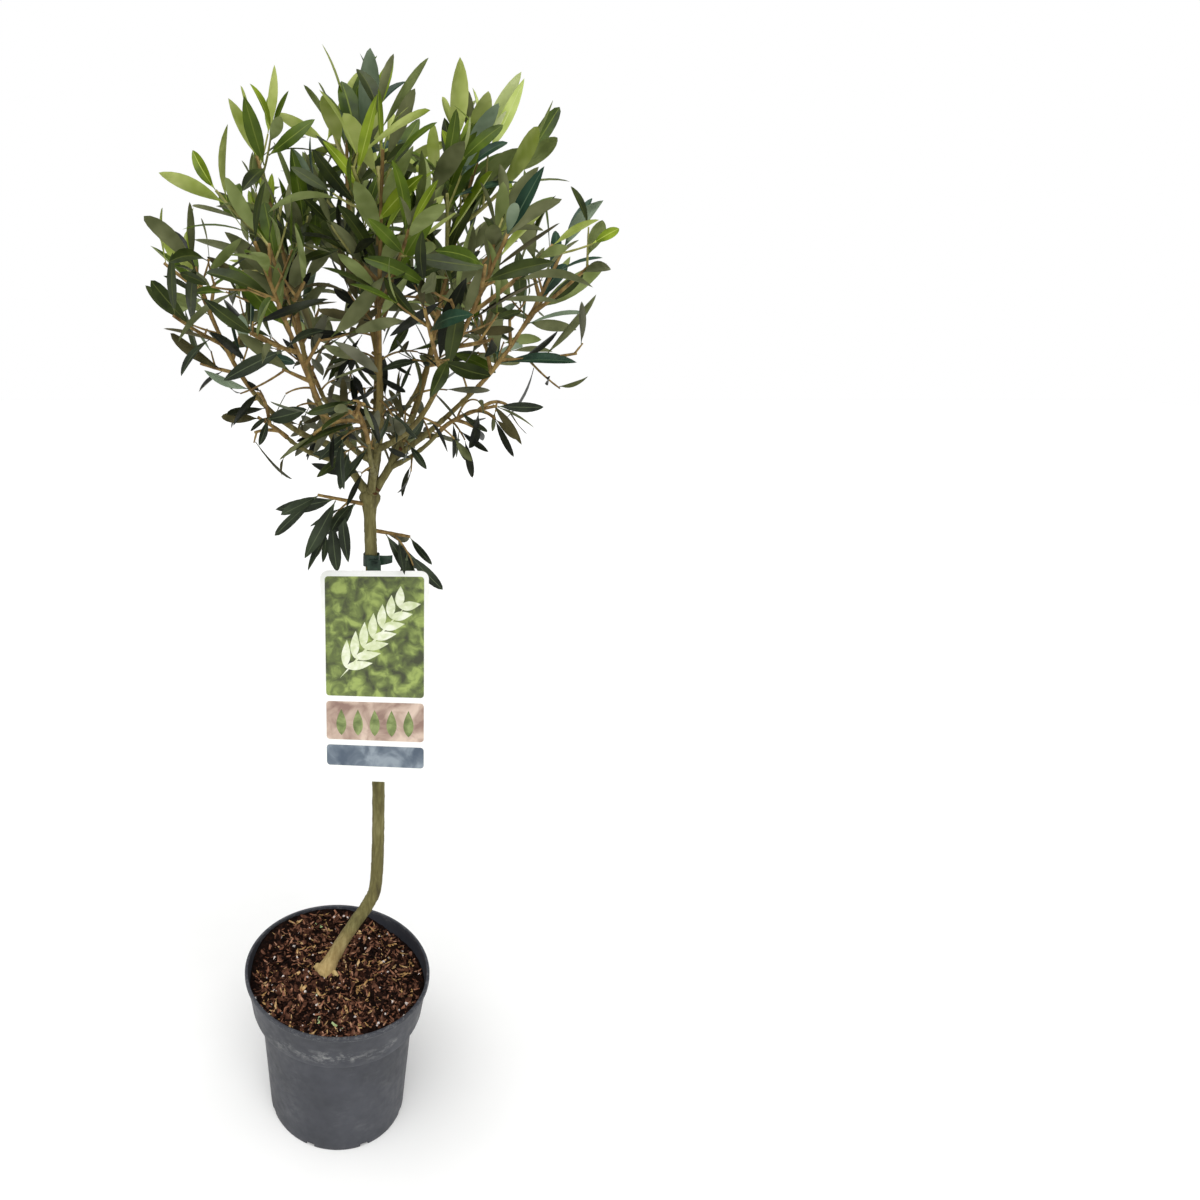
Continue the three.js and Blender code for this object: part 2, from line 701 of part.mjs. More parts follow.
function makeLabel() {
  const { width, height, corner, thickness } = LABEL;
  const [right, low] = [width / 2, -height];
  const outline = new THREE.Shape();
  outline.moveTo(-right + corner, 0);
  outline.absarc(-right + corner, -corner, corner, Math.PI / 2, Math.PI, false);
  outline.absarc(-right + corner, low + corner, corner, Math.PI, 1.5 * Math.PI, false);
  outline.absarc(right - corner, low + corner, corner, 1.5 * Math.PI, 2 * Math.PI, false);
  outline.absarc(right - corner, -corner, corner, 0, Math.PI / 2, false);
  const options = { depth: thickness, bevelEnabled: false, curveSegments: 5 };
  const card = new THREE.ExtrudeGeometry(outline, options);
  return card.rotateX(Math.PI / 2).translate(0, thickness / 2, 0);
}

// The hanging frame of the label, which its strap shares
function hang(object) {
  object.position.set(...LABEL.top);
  object.rotation.set(LABEL.lean, LABEL.roll, LABEL.turn, 'ZYX');
  object.updateMatrix();
  return object;
}

// The band round the trunk, joined to the strap that lies behind the label's top
function makeTie() {
  const { x, y, z } = onTrunk(TIE.level);
  const inner = trunkRadius(TIE.level) + CLEARANCE + TIE.ease;
  const outer = inner + TIE.thickness;
  const band = turned([
    [inner, -TIE.height / 2],
    [outer, -TIE.height / 2],
    [outer, TIE.height / 2],
    [inner, TIE.height / 2],
    [inner, -TIE.height / 2],
  ], TIE.sides).translate(x, y, z);
  const [width, thick, drop] = TIE.strap;
  const behind = LABEL.thickness / 2 + CLEARANCE + thick / 2;
  const strap = new THREE.BoxGeometry(width, thick, drop).translate(0, behind, 0);
  const reach = TIE.strap[1] + TIE.bridge;
  const bridge = new THREE.BoxGeometry(width / 2, reach, width / 2);
  bridge.translate(0, behind + TIE.bridge / 2, width / 2);
  const hung = hang(new THREE.Object3D()).matrix;
  const bore = turned([
    [0, -TIE.height],
    [inner, -TIE.height],
    [inner, TIE.height],
    [0, TIE.height],
  ], TIE.sides).translate(x, y, z);
  const pieces = [band, strap.applyMatrix4(hung), bridge.applyMatrix4(hung)];
  return wasm.Manifold.union(pieces.map(solidOf)).subtract(solidOf(bore));
}

const tree = new THREE.Group();
tree.name = 'potted_olive_tree';
tree.add(meshOf('pot', makePot(), COLOURS.pot));
tree.add(meshOf('potting_mix', makeSoil(), COLOURS.soil));
tree.add(meshOf('trunk', makeTrunk(), COLOURS.bark));
for (const [name, solid] of makeBoughs()) tree.add(meshOf(name, solid, COLOURS.bough));

const masses = [...MASSES, ...SPRIGS];
masses.forEach((mass, index) => {
  mass.seed = RULE.seed + index;
});
setSpaces(masses);
const trunkSpace = trunkSolid(CLEARANCE);
for (const mass of masses) {
  tree.add(meshOf(mass.name, makeMass(mass, trunkSpace), massLook(mass)));
}

const hanger = hang(new THREE.Group());
const label = new THREE.Mesh(makeLabel(), material(COLOURS.label));
label.name = 'plant_label';
hanger.add(label);
tree.add(hanger);
tree.add(meshOf('label_tie', makeTie(), COLOURS.tie));

export default tree;
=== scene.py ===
"""The looks of a potted olive tree, built round the packed frame.

Metres, Z up, seen from the front along +Y. Sizes in the tables are millimetres and angles are degrees, as in
the part's source. new_mesh() turns them into metres when a mesh is made.
"""

import json
import math
from types import SimpleNamespace as Named

import bpy
import numpy as np
from mathutils import Euler, Matrix, Vector, noise

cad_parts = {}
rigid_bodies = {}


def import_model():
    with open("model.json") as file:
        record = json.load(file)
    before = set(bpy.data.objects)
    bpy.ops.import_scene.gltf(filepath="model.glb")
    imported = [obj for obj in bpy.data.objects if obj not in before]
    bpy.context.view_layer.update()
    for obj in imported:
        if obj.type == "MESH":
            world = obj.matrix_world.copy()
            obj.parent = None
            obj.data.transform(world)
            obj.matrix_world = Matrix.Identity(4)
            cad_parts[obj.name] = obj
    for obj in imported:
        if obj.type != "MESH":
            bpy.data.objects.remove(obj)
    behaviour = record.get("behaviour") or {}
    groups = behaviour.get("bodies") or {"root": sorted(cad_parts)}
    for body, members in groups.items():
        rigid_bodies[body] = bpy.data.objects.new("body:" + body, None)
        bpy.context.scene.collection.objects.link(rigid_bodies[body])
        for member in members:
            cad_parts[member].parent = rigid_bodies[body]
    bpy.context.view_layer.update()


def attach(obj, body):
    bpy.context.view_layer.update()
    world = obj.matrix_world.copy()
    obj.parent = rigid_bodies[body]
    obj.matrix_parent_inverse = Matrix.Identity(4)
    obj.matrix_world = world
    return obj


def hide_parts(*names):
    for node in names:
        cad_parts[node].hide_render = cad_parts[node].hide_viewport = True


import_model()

MM = 0.001
UP = Vector((0, 0, 1))
DEGREE = math.pi / 180
TURN = 2 * math.pi
GOLDEN_TURN = 137.5 * DEGREE
WHITE = (1, 1, 1, 1)
CLEARANCE = 0.3

# The photograph's view
CAMERA = Named(place=(0, -0.7026, 0.7924), pitch=18.06, lens=25.03, sensor=36, shift=0.219)
# Very wide soft lamps, far away, that light the whole floor evenly: name, heading, width, power
SUNS = [("top_light", (0.12, 0.35, -1), 66, 2.9), ("front_light", (-0.4, 1, -0.5), 50, 0.8)]
SKY_LIGHT = 0.27
FLOOR = 9000

# base is how high the middle of the underside stands, and floor the inside above it
POT = Named(
    height=167, rim=95, rim_depth=5, rim_lip=1.6, collar=42, collar_foot=88, body_top=118, body=79,
    foot=72, foot_round=1.8, wall=1.6, base=2.2, floor=3.2, sides=160,
)
DRAIN = Named(count=8, width=9, height=4, depth=6)
# crumbs are the heights and scales of the surface's grain, and settled is what they lose on average
SOIL = Named(
    level=152, unevenness=2.5, edge=72, wall_fade=12, foot_fade=(30, 45), wall_gap=0.4, rings=60, sides=200,
    bank=12.5, bank_toward=(-0.42, 0.91), bank_reach=(30, 88), bare_foot=8,
    crumbs=((1.1, 0.35), (0.8, 0.9)), settled=0.6,
)

TRUNK = Named(foot=6.6, top=5.2, flare=3.2, flare_height=9, knob=3.2, knob_height=9, rounded=6, steps=26)
TRUNK_LINE = [
    (-21, 5, 138), (-11.5, 9, 153), (3, 15, 179), (19, 20, 204), (33, 23, 226), (40, 23, 252),
    (41, 21, 330), (38, 15, 440), (32, 8, 560), (28, 3, 640), (28, 2, 664),
]
FORK = Vector((28, 2, 655))
CALLUS = Named(place=(-19.5, 11, 153), radius=5, shape=(1, 0.9, 1), rings=18, sides=24, grain=0.35)

# name after bough_, what carries it and where along that, tip, bow, radii at foot and tip
BOUGHS = [
    ("left", None, 0, (-28, -12, 782), (-9, -2, 0), (3.6, 2)),
    ("right", None, 0, (76, -6, 782), (6, -2, -6), (3.7, 2)),
    ("front", None, 0, (32, -44, 774), (2, -8, -6), (3.4, 2)),
    ("back", None, 0, (34, 46, 786), (2, 8, -6), (3.4, 2)),
    ("leader", None, 0, (20, 4, 820), (12, 4, 0), (3.2, 1.9)),
    ("left_outer", "left", 0.34, (-68, -13, 744), (-4, 0, -6), (2.6, 1.8)),
    ("left_low", "left", 0.24, (-40, -22, 708), (-3, -2, -3), (2, 1.5)),
    ("right_outer", "right", 0.32, (114, -1, 746), (-2, 0, -5), (2.6, 1.8)),
    ("right_low", "right", 0.24, (82, -20, 712), (2, -2, -2), (2, 1.5)),
    ("front_left", "front", 0.32, (-14, -56, 740), (-4, -4, -4), (2.5, 1.8)),
    ("front_right", "front", 0.42, (72, -61, 744), (4, -4, -4), (2.4, 1.8)),
    ("front_low", "front", 0.22, (24, -54, 708), (0, -4, -3), (2, 1.5)),
    ("back_left", "back", 0.32, (-16, 56, 742), (-4, 4, -4), (2.5, 1.8)),
    ("back_right", "back", 0.42, (74, 63, 746), (4, 4, -4), (2.4, 1.8)),
    ("back_low", "back", 0.22, (22, 56, 712), (-2, 4, -3), (2, 1.5)),
]
BOUGH_STEPS = 4

# name, bough or height of the root, reach, shoots, spread, rise, leaf
MASSES = [
    ("leaves_top", "leader", (8, 2, 942), 4, 68, 0.7, 60),
    ("leaves_left", "left", (-60, -10, 914), 6, 82, 0.5, 62),
    ("leaves_right", "right", (106, -8, 916), 6, 82, 0.5, 62),
    ("leaves_front", "front", (30, -90, 904), 6, 82, 0.4, 62),
    ("leaves_back", "back", (36, 90, 916), 6, 82, 0.5, 62),
    ("leaves_left_outer", "left_outer", (-114, -18, 862), 7, 80, 0.25, 62),
    ("leaves_right_outer", "right_outer", (178, 0, 856), 7, 80, 0.25, 62),
    ("leaves_front_left", "front_left", (-54, -112, 846), 7, 82, 0.25, 62),
    ("leaves_front_right", "front_right", (110, -118, 850), 7, 82, 0.25, 62),
    ("leaves_back_left", "back_left", (-56, 112, 850), 7, 82, 0.25, 62),
    ("leaves_back_right", "back_right", (114, 118, 852), 7, 82, 0.25, 62),
    ("leaves_left_low", "left_low", (-84, -34, 736), 4, 52, -0.9, 56),
    ("leaves_right_low", "right_low", (126, -30, 734), 4, 52, -0.9, 56),
    ("leaves_front_low", "front_low", (8, -94, 736), 4, 50, -0.9, 54),
    ("leaves_back_low", "back_low", (12, 96, 738), 4, 52, -0.9, 56),
    ("sprig_left", 648, (-16, -14, 660), 0, 0, -2, 62),
    ("sprig_right", 626, (64, 12, 618), 0, 0, -1.6, 62),
]
CROWN = Named(centre=Vector((33, 0, 820)), radii=(192, 182, 176))

# The rule that the part's source grows its masses by
RULE = Named(
    seed=2700, space_gap=0.8, heart_along=0.4, stem_spring=0.4, stem_radii=(2, 1.2), radii=(1.7, 1.1),
    first_shoot=0.1, last_shoot=0.86, shoot_angle=(58, 36), shoot_shrink=0.35, least_shoot=0.4,
    length_luck=(0.88, 1.12), angle_luck=(0.9, 1.1), checks=12, held_foot=0.2, bare_foot=15, bare_tip=5,
    internode=18.5, leaf_rise=0.4, leaf_roll=70, leaf_angle=(58, 30), tip_angle=20, tip_along=0.985,
    variation=0.16, tip_leaf=0.78, width=0.26, widest=0.45, leaf_gap=0.6, leaf_crown=1, blade_foot=0.3,
    blade_width=0.4, sunk=0, fine=False,
    tries=((0, 1), (30, 1), (-30, 1), (0, 0.5), (60, 0.8), (-60, 0.8)),
)
# What the finer growth changes in it. leaf_crown and twig_crown are the shares of the crown it fills.
FINE = Named(
    seed=9000, first=0.6, spacing=36, length=(30, 54), shrink=0.35, angle=(58, 40), radii=(0.95, 0.6),
    sunk=0, held_foot=0.2, bare_foot=8, internode=14, leaf=(0.7, 0.95), leaf_gap=0.35, leaf_crown=0.99,
    twig_crown=0.9, fine=True,
)
# What the spurs change in that: short hanging twigs on the boughs, from bare_bough along them
SPUR = Named(**vars(FINE))
vars(SPUR).update(
    seed=7000, bare_bough=0.42, spacing=21, length=(18, 42), angle=(50, 85), rise=-0.7, full_leaf=48,
    internode=11, held_foot=0.34, sunk=0.5,
)
# The share of the leaves that is left out where the sky shows, from the crown's middle to its sides. low is
# added at its foot. Of the source's leaves, the last on a twig and those farther out than kept stay.
OPEN = Named(seed=55, least=0.23, most=0.54, reach=(80, 160), low=0.18, heights=(705, 770), kept=160)
MOST_LEAVES = 6000

LEAF = Named(
    width=(0.19, 0.28), slim=0.78, thickness=0.55, life_size=(0.74, 0.98), top_size=0.17, top=(935, 975),
    stalk=0.085, stalk_length=0.07, rise=0.85, blunt=(0.6, 0.92), bend=(-0.15, 0.75),
    hanging_bend=(-0.5, 0.7), sway=(-0.35, 0.35), fold=(0.06, 0.5), twist=(-0.5, 0.5), bend_marks=41,
    seed=77, sheen=0.18, fold_luck=1.5, arc=1.3, sway_reach=0.3, groove=0.12,
    thickness_along=((0, 0.1, 0.2, 1), (1.3, 1.1, 1, 0.5)),
)
# Kinds from pale to dark, partly by age and partly painted light: pale and young paint the light on the
# crown's top, olive and dark the shade low inside it
# Upper face, under face, rib, roughness
LEAF_LOOKS = {
    "pale": ((0x97AB44, 0xCDDA86), (0xB2C26C, 0xE2EAB2), 0xC6D288, 0.42),
    "young": ((0x50640A, 0x8CA02C), (0x90A040, 0xC4CE7C), 0xA8B652, 0.4),
    "green": ((0x2A3A09, 0x556A16), (0x66723A, 0x909C60), 0x68762C, 0.38),
    "olive": ((0x1B2409, 0x3A4519), (0x545A36, 0x7E825A), 0x4A5224, 0.42),
    "dark": ((0x080B04, 0x1C2110), (0x343218, 0x5C5636), 0x242718, 0.38),
    "grey": ((0x1B2216, 0x39432F), (0x4C4D3A, 0x747560), 0x525C42, 0.42),
    "blue": ((0x162E20, 0x2E4A38), (0x66785E, 0x8C9C82), 0x4A6048, 0.36),
}
# What a leaf's age and painted light are weighed from: 0 is an old leaf low inside the crown, and 1 a young
# one at its top
# Leaves low and deep in the crown get darker colours as painted shade, and those high and outward paler ones
# as painted light
AGE_AND_LIGHT = Named(foot=690, height=290, high=0.72, outward=0.2, along=0.06, spray_luck=0.26, luck=0.4)
KINDS_BY_AGE_AND_LIGHT = [("pale", 1.04), ("young", 0.82), ("green", 0.63), ("olive", 0.38)]
BLUE = Named(share=0.04, age=0.35)
DARK_SHARE = 0.6

TWIG = Named(sides=7, step=3, past_leaf=2, joints=9, swelling=0.22, joint_width=0.12, young=830)
TWIG_TONES = {"twig_bark": (0x5C4620, 0x82683A, 0xA68C52), "green_twig": (0x787838, 0x939150, 0xB0AA6E)}
BARK = Named(trunk_steps=330, trunk_sides=36, step=1.6, sides=18, collar=1.3, collar_length=7)
BARK.joints, BARK.swelling, BARK.joint_width = 21, 0.35, 0.07
RELIEF = Named(
    ridge_scale=(0.9, 0.9, 0.09), ridge=0.22, lump_scale=0.13, lump=0.3, fork_lump=1.6, fork_height=12,
    wart_scale=0.42, wart_shift=Vector((9, 0, 0)), wart_least=0.38, wart=1.5,
)
# Turn and reach of the roots that show at the trunk's foot
ROOTS = [(-40, 17), (-95, 12), (170, 13), (60, 12)]
ROOT = Named(start=3, middle=0.6, drop=4.5, radii=(4.2, 1.2), steps=14, sides=14)
STUB = Named(
    seed=31, at_fork=5, spread=(-6, 6), boughs=5, on_bough=3, along=(0.15, 0.8), rise=(0.1, 0.9), sides=14,
    steps=6, reach=(8.5, 11), radius=(2.2, 3.4), flare=1.15, taper=0.25, small=0.55,
)

CHIP = Named(
    seed=404, steps=4, jitter=0.25, end=(0.5, 1.7), middle=(0.8, 1.1), thick=(0.7, 1.4), lift=(-0.3, 1.6),
    wall_gap=0.3,
)
# name, count, lengths, width shares, thickness, curl, tilt, colours
CHIPS = [
    ("dark_chips", 1750, (3, 9), (0.25, 0.6), 1.1, 0.12, 42, (0x0A0302, 0x1A0C07, 0x32190F)),
    ("brown_chips", 800, (4, 12), (0.2, 0.45), 1, 0.16, 40, (0x321B12, 0x523426, 0x7A5644)),
    ("red_fibres", 420, (6, 15), (0.09, 0.22), 0.8, 0.24, 34, (0x5A3424, 0x865A44, 0xB48A70)),
    ("tan_fibres", 280, (5, 14), (0.1, 0.26), 0.7, 0.22, 30, (0x80603A, 0xAA8656, 0xD2B486)),
    ("pale_grit", 110, (1.4, 3), (0.8, 1), 1.6, 0.02, 70, (0xAFA29A, 0xCFC3BC, 0xE6DDD8)),
    ("green_scraps", 5, (9, 15), (0.26, 0.36), 0.5, 0.12, 14, (0x8FA56A, 0xA9BC86, 0xC3D0A4)),
]

LABEL = Named(
    width=95, height=190, thickness=0.8, corner=7, top=(31.9, -6, 592), lean=-10.3, turn=-9, roll=-2.3,
    chamfer=0.15, margin=4, ink=0.06,
)
# Plain panels of the print: name, scale, colours, lower and upper edge
PANELS = [
    ("print_greens", 11, (0x42472F, 0x66743E, 0x9CAD5E), -112, -5),
    ("print_clay", 16, (0x8F7468, 0xB49C8C, 0xD5BFAE), -152, -117),
    ("print_slate", 16, (0x4C5968, 0x66727E, 0x8C97A0), -176, -157),
]
# The print's pale twig, whose stem has a place, a length and a width, and its row of small leaves
SPRAY = Named(
    pairs=7, foot=(-26, -86), step=(8, 9), leaf=(25, 8), turn=42, lean=38, stem=(-31, -96, 92, 2.2),
)
LEAF_ROW = Named(count=5, foot=(-30, -148), step=15, leaf=(24, 9))
TIE = Named(
    level=599, height=10, thickness=1.1, ease=0.4, strap=(12, 1, 20), bridge=5, sides=48,
    section=[(0, -1), (1, -1), (1.15, 0), (1, 1), (0, 1), (-0.05, 0)], waves=3, wave=0.5, wave_start=0.6,
    middle_wave=0.6,
)
FLAP = Named(
    gap=1, reach=11, forward=4.5, curl=2.5, curl_turn=2.2, taper=0.25, rise=2, steps=8,
    section=((-4.2, 0), (4.6, 0), (4.6, 0.9), (-4.2, 0.9)),
)


def linear(colour):
    """A colour written as 0xRRGGBB, as Blender's linear RGBA"""
    channels = [(colour >> shift & 255) / 255 for shift in (16, 8, 0)]
    return (*[c / 12.92 if c <= 0.04045 else ((c + 0.055) / 1.055) ** 2.4 for c in channels], 1)


def blend(pair, share):
    return pair[0] + (pair[1] - pair[0]) * share


def smoothstep(value, low, high):
    share = min(1, max(0, (value - low) / (high - low)))
    return share * share * (3 - 2 * share)


def turned(turn):
    return math.cos(turn), math.sin(turn)


def circle(sides):
    """Cosine and sine of each step of a full turn"""
    return [turned(TURN * k / sides) for k in range(sides)]


def fill(node, inputs):
    """Sets a node's inputs to numbers and colours, or links them to other nodes' outputs"""
    for key, value in inputs.items():
        if isinstance(value, bpy.types.NodeSocket):
            node.id_data.links.new(value, node.inputs[key])
        else:
            node.inputs[key].default_value = value
    return node


class Look:
    """A material and its nodes. Patterns read the piece's own coordinates."""

    def __init__(self, name, roughness, specular):
        self.material = bpy.data.materials.new(name)
        self.material.use_nodes = True
        self.nodes = self.material.node_tree.nodes
        self.shader = self.nodes["Principled BSDF"]
        fill(self.shader, {"Roughness": roughness, "Specular IOR Level": specular})
        self.place = self.nodes.new("ShaderNodeTexCoord").outputs["Object"]

    def made(self, kind, inputs, output, **values):
        """The output of a new node"""
        node = self.nodes.new(kind)
        for key, value in values.items():
            setattr(node, key, value)
        return fill(node, inputs).outputs[output]

    def noise(self, scale, detail=3, roughness=0.55, distortion=0, stretch=None):
        """Noise with features of about `scale` millimetres"""
        place = self.place
        if stretch:
            place = self.made("ShaderNodeMapping", {"Vector": place, "Scale": stretch}, "Vector")
        inputs = {"Vector": place, "Scale": 1 / (scale * MM), "Detail": detail, "Roughness": roughness}
        return self.made("ShaderNodeTexNoise", {**inputs, "Distortion": distortion}, "Fac")

    def ramp(self, source, colours, places=None):
        """Two or three colours at places from 0 to 1"""
        node = fill(self.nodes.new("ShaderNodeValToRGB"), {"Fac": source})
        elements = node.color_ramp.elements
        if len(colours) == 3:
            elements.new(0.5)
        places = places or ((0.3, 0.7) if len(colours) == 2 else (0.3, 0.5, 0.7))
        for element, place, colour in zip(elements, places, colours):
            element.position = place
            element.color = linear(colour)
        return node.outputs["Color"]

    def range(self, source, low, high, to_low, to_high):
        names = ("Value", "From Min", "From Max", "To Min", "To Max")
        values = (source, low, high, to_low, to_high)
        return self.made("ShaderNodeMapRange", dict(zip(names, values)), "Result")

    def maths(self, operation, *values):
        return self.made("ShaderNodeMath", dict(enumerate(values)), "Value", operation=operation)

    def times(self, first, second):
        return self.maths("MULTIPLY", first, second)

    def mix(self, share, first, second):
        """Colour `first` where share is 0, `second` where it is 1; either may be 0xRRGGBB"""
        first, second = (linear(c) if isinstance(c, int) else c for c in (first, second))
        return self.made("ShaderNodeMix", {0: share, 6: first, 7: second}, 2, data_type="RGBA")

    def height(self):
        """The height in metres"""
        return self.made("ShaderNodeSeparateXYZ", {0: self.place}, "Z")

    def colour(self, source):
        fill(self.shader, {"Base Color": source})

    def rough(self, source, low, high):
        fill(self.shader, {"Roughness": self.range(source, 0.3, 0.7, low, high)})

    def bump(self, source, depth, strength=0.6):
        """Relief of `depth` millimetres"""
        inputs = {"Strength": strength, "Distance": depth * MM, "Height": source}
        fill(self.shader, {"Normal": self.made("ShaderNodeBump", inputs, "Normal")})


def grained(name, roughness, specular, grain, colours, gloss=None, relief=None, places=None):
    """A material of noises: one for its colours and, if given, one for its roughness and its relief"""
    look = Look(name, roughness, specular)
    look.colour(look.ramp(look.noise(*grain), colours, places))
    if gloss:
        look.rough(look.noise(gloss[0]), *gloss[1:])
    if relief:
        look.bump(look.noise(*relief[0]), *relief[1:])
    return look.material


def put(name, data):
    made = bpy.data.objects.new(name, data)
    bpy.context.scene.collection.objects.link(made)
    return made


def new_mesh(name, vertices, faces, looks):
    mesh = bpy.data.meshes.new(name)
    mesh.from_pydata((np.asarray(vertices, float) * MM).tolist(), [], faces)
    for look in looks:
        mesh.materials.append(look)
    return mesh


def piece(name, vertices, faces, looks, slot, replaces=(), kinds=None, smooth=True, sharp=None):
    """A mesh object in the row frame that rides on the root body. kinds gives each face's material."""
    mesh = new_mesh(name, vertices, faces, looks)
    mesh.polygons.foreach_set("use_smooth", [smooth] * len(mesh.polygons))
    if kinds is not None:
        mesh.polygons.foreach_set("material_index", kinds)
    if sharp is not None:
        ends = np.zeros(2 * len(mesh.edges), int)
        mesh.edges.foreach_get("vertices", ends)
        marks = mesh.attributes.new("sharp_edge", "BOOLEAN", "EDGE")
        marks.data.foreach_set("value", sharp[ends.reshape(-1, 2)].all(1))
    mesh.validate()
    mesh.update()
    made = put(name, mesh)
    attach(made, "root")
    if replaces:
        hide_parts(*replaces)
    return made


class Heap:
    """Vertices and faces of many small things, to be joined in one piece"""

    def __init__(self):
        self.vertices, self.faces, self.kinds, self.count = [], [], [], 0

    def add(self, vertices, faces, kinds=0):
        """kinds is the place of one material for all faces, or a list of places"""
        self.vertices.append(np.asarray(vertices, float))
        self.faces += [[self.count + i for i in face] for face in faces]
        self.kinds += [kinds] * len(faces) if isinstance(kinds, int) else kinds
        self.count += len(vertices)

    def piece(self, name, looks, slot, replaces=(), **rest):
        vertices = np.concatenate(self.vertices)
        return piece(name, vertices, self.faces, looks, slot, replaces, self.kinds, **rest)


def mark_sharp(made, degrees):
    """Keeps shading crisp over edges sharper than this"""
    made.data.polygons.foreach_set("use_smooth", [True] * len(made.data.polygons))
    made.data.set_sharp_from_angle(angle=degrees * DEGREE)


def stack_faces(rows, sides, flipped=False):
    """Faces over rings of points, then those over the first and the last ring"""
    faces = []
    for i in range(rows - 1):
        for k in range(sides):
            a, b = i * sides + k, i * sides + (k + 1) % sides
            faces.append((a, b, b + sides, a + sides) if flipped else (a, a + sides, b + sides, b))
    first, last = tuple(range(sides)), tuple(range((rows - 1) * sides, rows * sides))
    return faces + ([first[::-1], last] if flipped else [first, last[::-1]])


def round_faces(rings, sides):
    """Faces over rings of points between two single ones, of which the first is the lower"""
    faces = []
    foot = 1 + (rings - 1) * sides
    for k in range(sides):
        after = (k + 1) % sides
        faces.append((0, 1 + after, 1 + k))
        for i in range(rings - 1):
            a, b = 1 + i * sides + k, 1 + i * sides + after
            faces.append((a, b, b + sides, a + sides))
        faces.append((foot + k, foot + after, foot + sides))
    return faces


def tube(line, radii, sides, relief=0):
    """A closed tube round a line of points. relief is the share of the bark's relief that it has."""
    over = Vector((0.31, 0.17, 0.94))
    vertices = []
    last = len(line) - 1
    for i, (centre, radius) in enumerate(zip(line, radii)):
        heading = (line[min(i + 1, last)] - line[max(i - 1, 0)]).normalized()
        over = (over - heading * over.dot(heading)).normalized()
        across = heading.cross(over)
        for c, s in circle(sides):
            out = across * c + over * s
            grown = relief * bark_relief(centre + out * radius) if relief else 0
            vertices.append(centre + out * (radius + grown))
    return vertices, stack_faces(len(line), sides)


def lathe(profile, sides):
    """A closed profile of (radius, height) turned about the middle. It starts and ends on the axis."""
    ring = [(radius * c, radius * s, height) for radius, height in profile[1:-1] for c, s in circle(sides)]
    vertices = [(0, 0, profile[0][1]), *ring, (0, 0, profile[-1][1])]
    return vertices, round_faces(len(profile) - 2, sides)


def make_camera():
    data = bpy.data.cameras.new("camera")
    data.lens = CAMERA.lens
    data.sensor_width = CAMERA.sensor
    data.shift_x = CAMERA.shift
    camera = put("camera", data)
    camera.location = CAMERA.place
    camera.rotation_euler = ((90 - CAMERA.pitch) * DEGREE, 0, 0)
    bpy.context.scene.camera = camera


def make_stage():
    paper = grained("floor_paper", 0.9, 0.1, (180,), (0xF3F3F2, 0xF6F6F5))
    corners = [(x * FLOOR, y * FLOOR, 0) for x, y in ((-1, -1), (1, -1), (1, 1), (-1, 1))]
    put("floor", new_mesh("floor", corners, [(0, 1, 2, 3)], [paper]))
    for name, heading, width, power in SUNS:
        data = bpy.data.lights.new(name, "SUN")
        data.angle = width * DEGREE
        data.energy = power
        put(name, data).rotation_euler = Vector(heading).to_track_quat("-Z", "Y").to_euler()
    bpy.context.scene.world = make_world()
    bpy.context.scene.view_settings.view_transform = "Standard"


def make_world():
    """Soft light from all round, and plain white where nothing stands"""
    world = bpy.data.worlds.new("studio")
    world.use_nodes = True
    nodes = world.node_tree.nodes
    light = fill(nodes["Background"], {"Color": WHITE, "Strength": SKY_LIGHT}).outputs[0]
    white = fill(nodes.new("ShaderNodeBackground"), {"Color": WHITE}).outputs[0]
    seen = nodes.new("ShaderNodeLightPath").outputs["Is Camera Ray"]
    mixed = fill(nodes.new("ShaderNodeMixShader"), {0: seen, 1: light, 2: white}).outputs[0]
    fill(nodes["World Output"], {"Surface": mixed})
    return world


# The limbs' curves, as in the part's source


class Bend:
    """A curve from start to end, drawn toward middle"""

    def __init__(self, start, middle, end):
        self.start, self.middle, self.end = start, middle, end
        line = marks(self, 60)
        self.length = sum((b - a).length for a, b in zip(line, line[1:]))

    def at(self, along):
        rest = 1 - along
        return self.start * rest * rest + self.middle * (2 * rest * along) + self.end * along * along

    def heading(self, along):
        return ((self.middle - self.start) * (1 - along) + (self.end - self.middle) * along).normalized()


class Spline:
    """A smooth curve through points"""

    def __init__(self, knots):
        self.knots = [Vector(knot) for knot in knots]

    def at(self, along):
        knots = self.knots
        spot = min(max(along, 0), 1) * (len(knots) - 1)
        i = min(int(spot), len(knots) - 2)
        share = spot - i
        a, b = knots[i], knots[i + 1]
        before = knots[i - 1] if i else a * 2 - b
        after = knots[i + 2] if i + 2 < len(knots) else b * 2 - a
        go, come = (b - before) / 2, (after - a) / 2
        bend = (b - a) * 3 - go * 2 - come
        fall = (a - b) * 2 + go + come
        return a + go * share + bend * share**2 + fall * share**3


def marks(curve, count, end=1):
    """Points at even steps along a curve, up to a share of it"""
    return [curve.at(end * i / count) for i in range(count + 1)]


trunk_curve = Spline(TRUNK_LINE)


def on_trunk(height):
    """The place on the trunk's line at a height"""
    knots = trunk_curve.knots
    i = next(k for k, knot in enumerate(knots) if knot.z > height)
    share = (height - knots[i - 1].z) / (knots[i].z - knots[i - 1].z)
    return knots[i - 1].lerp(knots[i], share)


def trunk_radius(height):
    foot = SOIL.level + CLEARANCE
    top = TRUNK_LINE[-1][2]
    rise = min(1, max(0, (height - foot) / (top - foot)))
    flare = TRUNK.flare * math.exp(-max(height - foot, 0) / TRUNK.flare_height)
    knob = TRUNK.knob * math.exp(-(((height - FORK.z) / TRUNK.knob_height) ** 2))
    below = min(1, max(0.04, (top - height) / TRUNK.rounded))
    return (blend((TRUNK.foot, TRUNK.top), rise) + flare + knob) * math.sqrt(below * (2 - below))


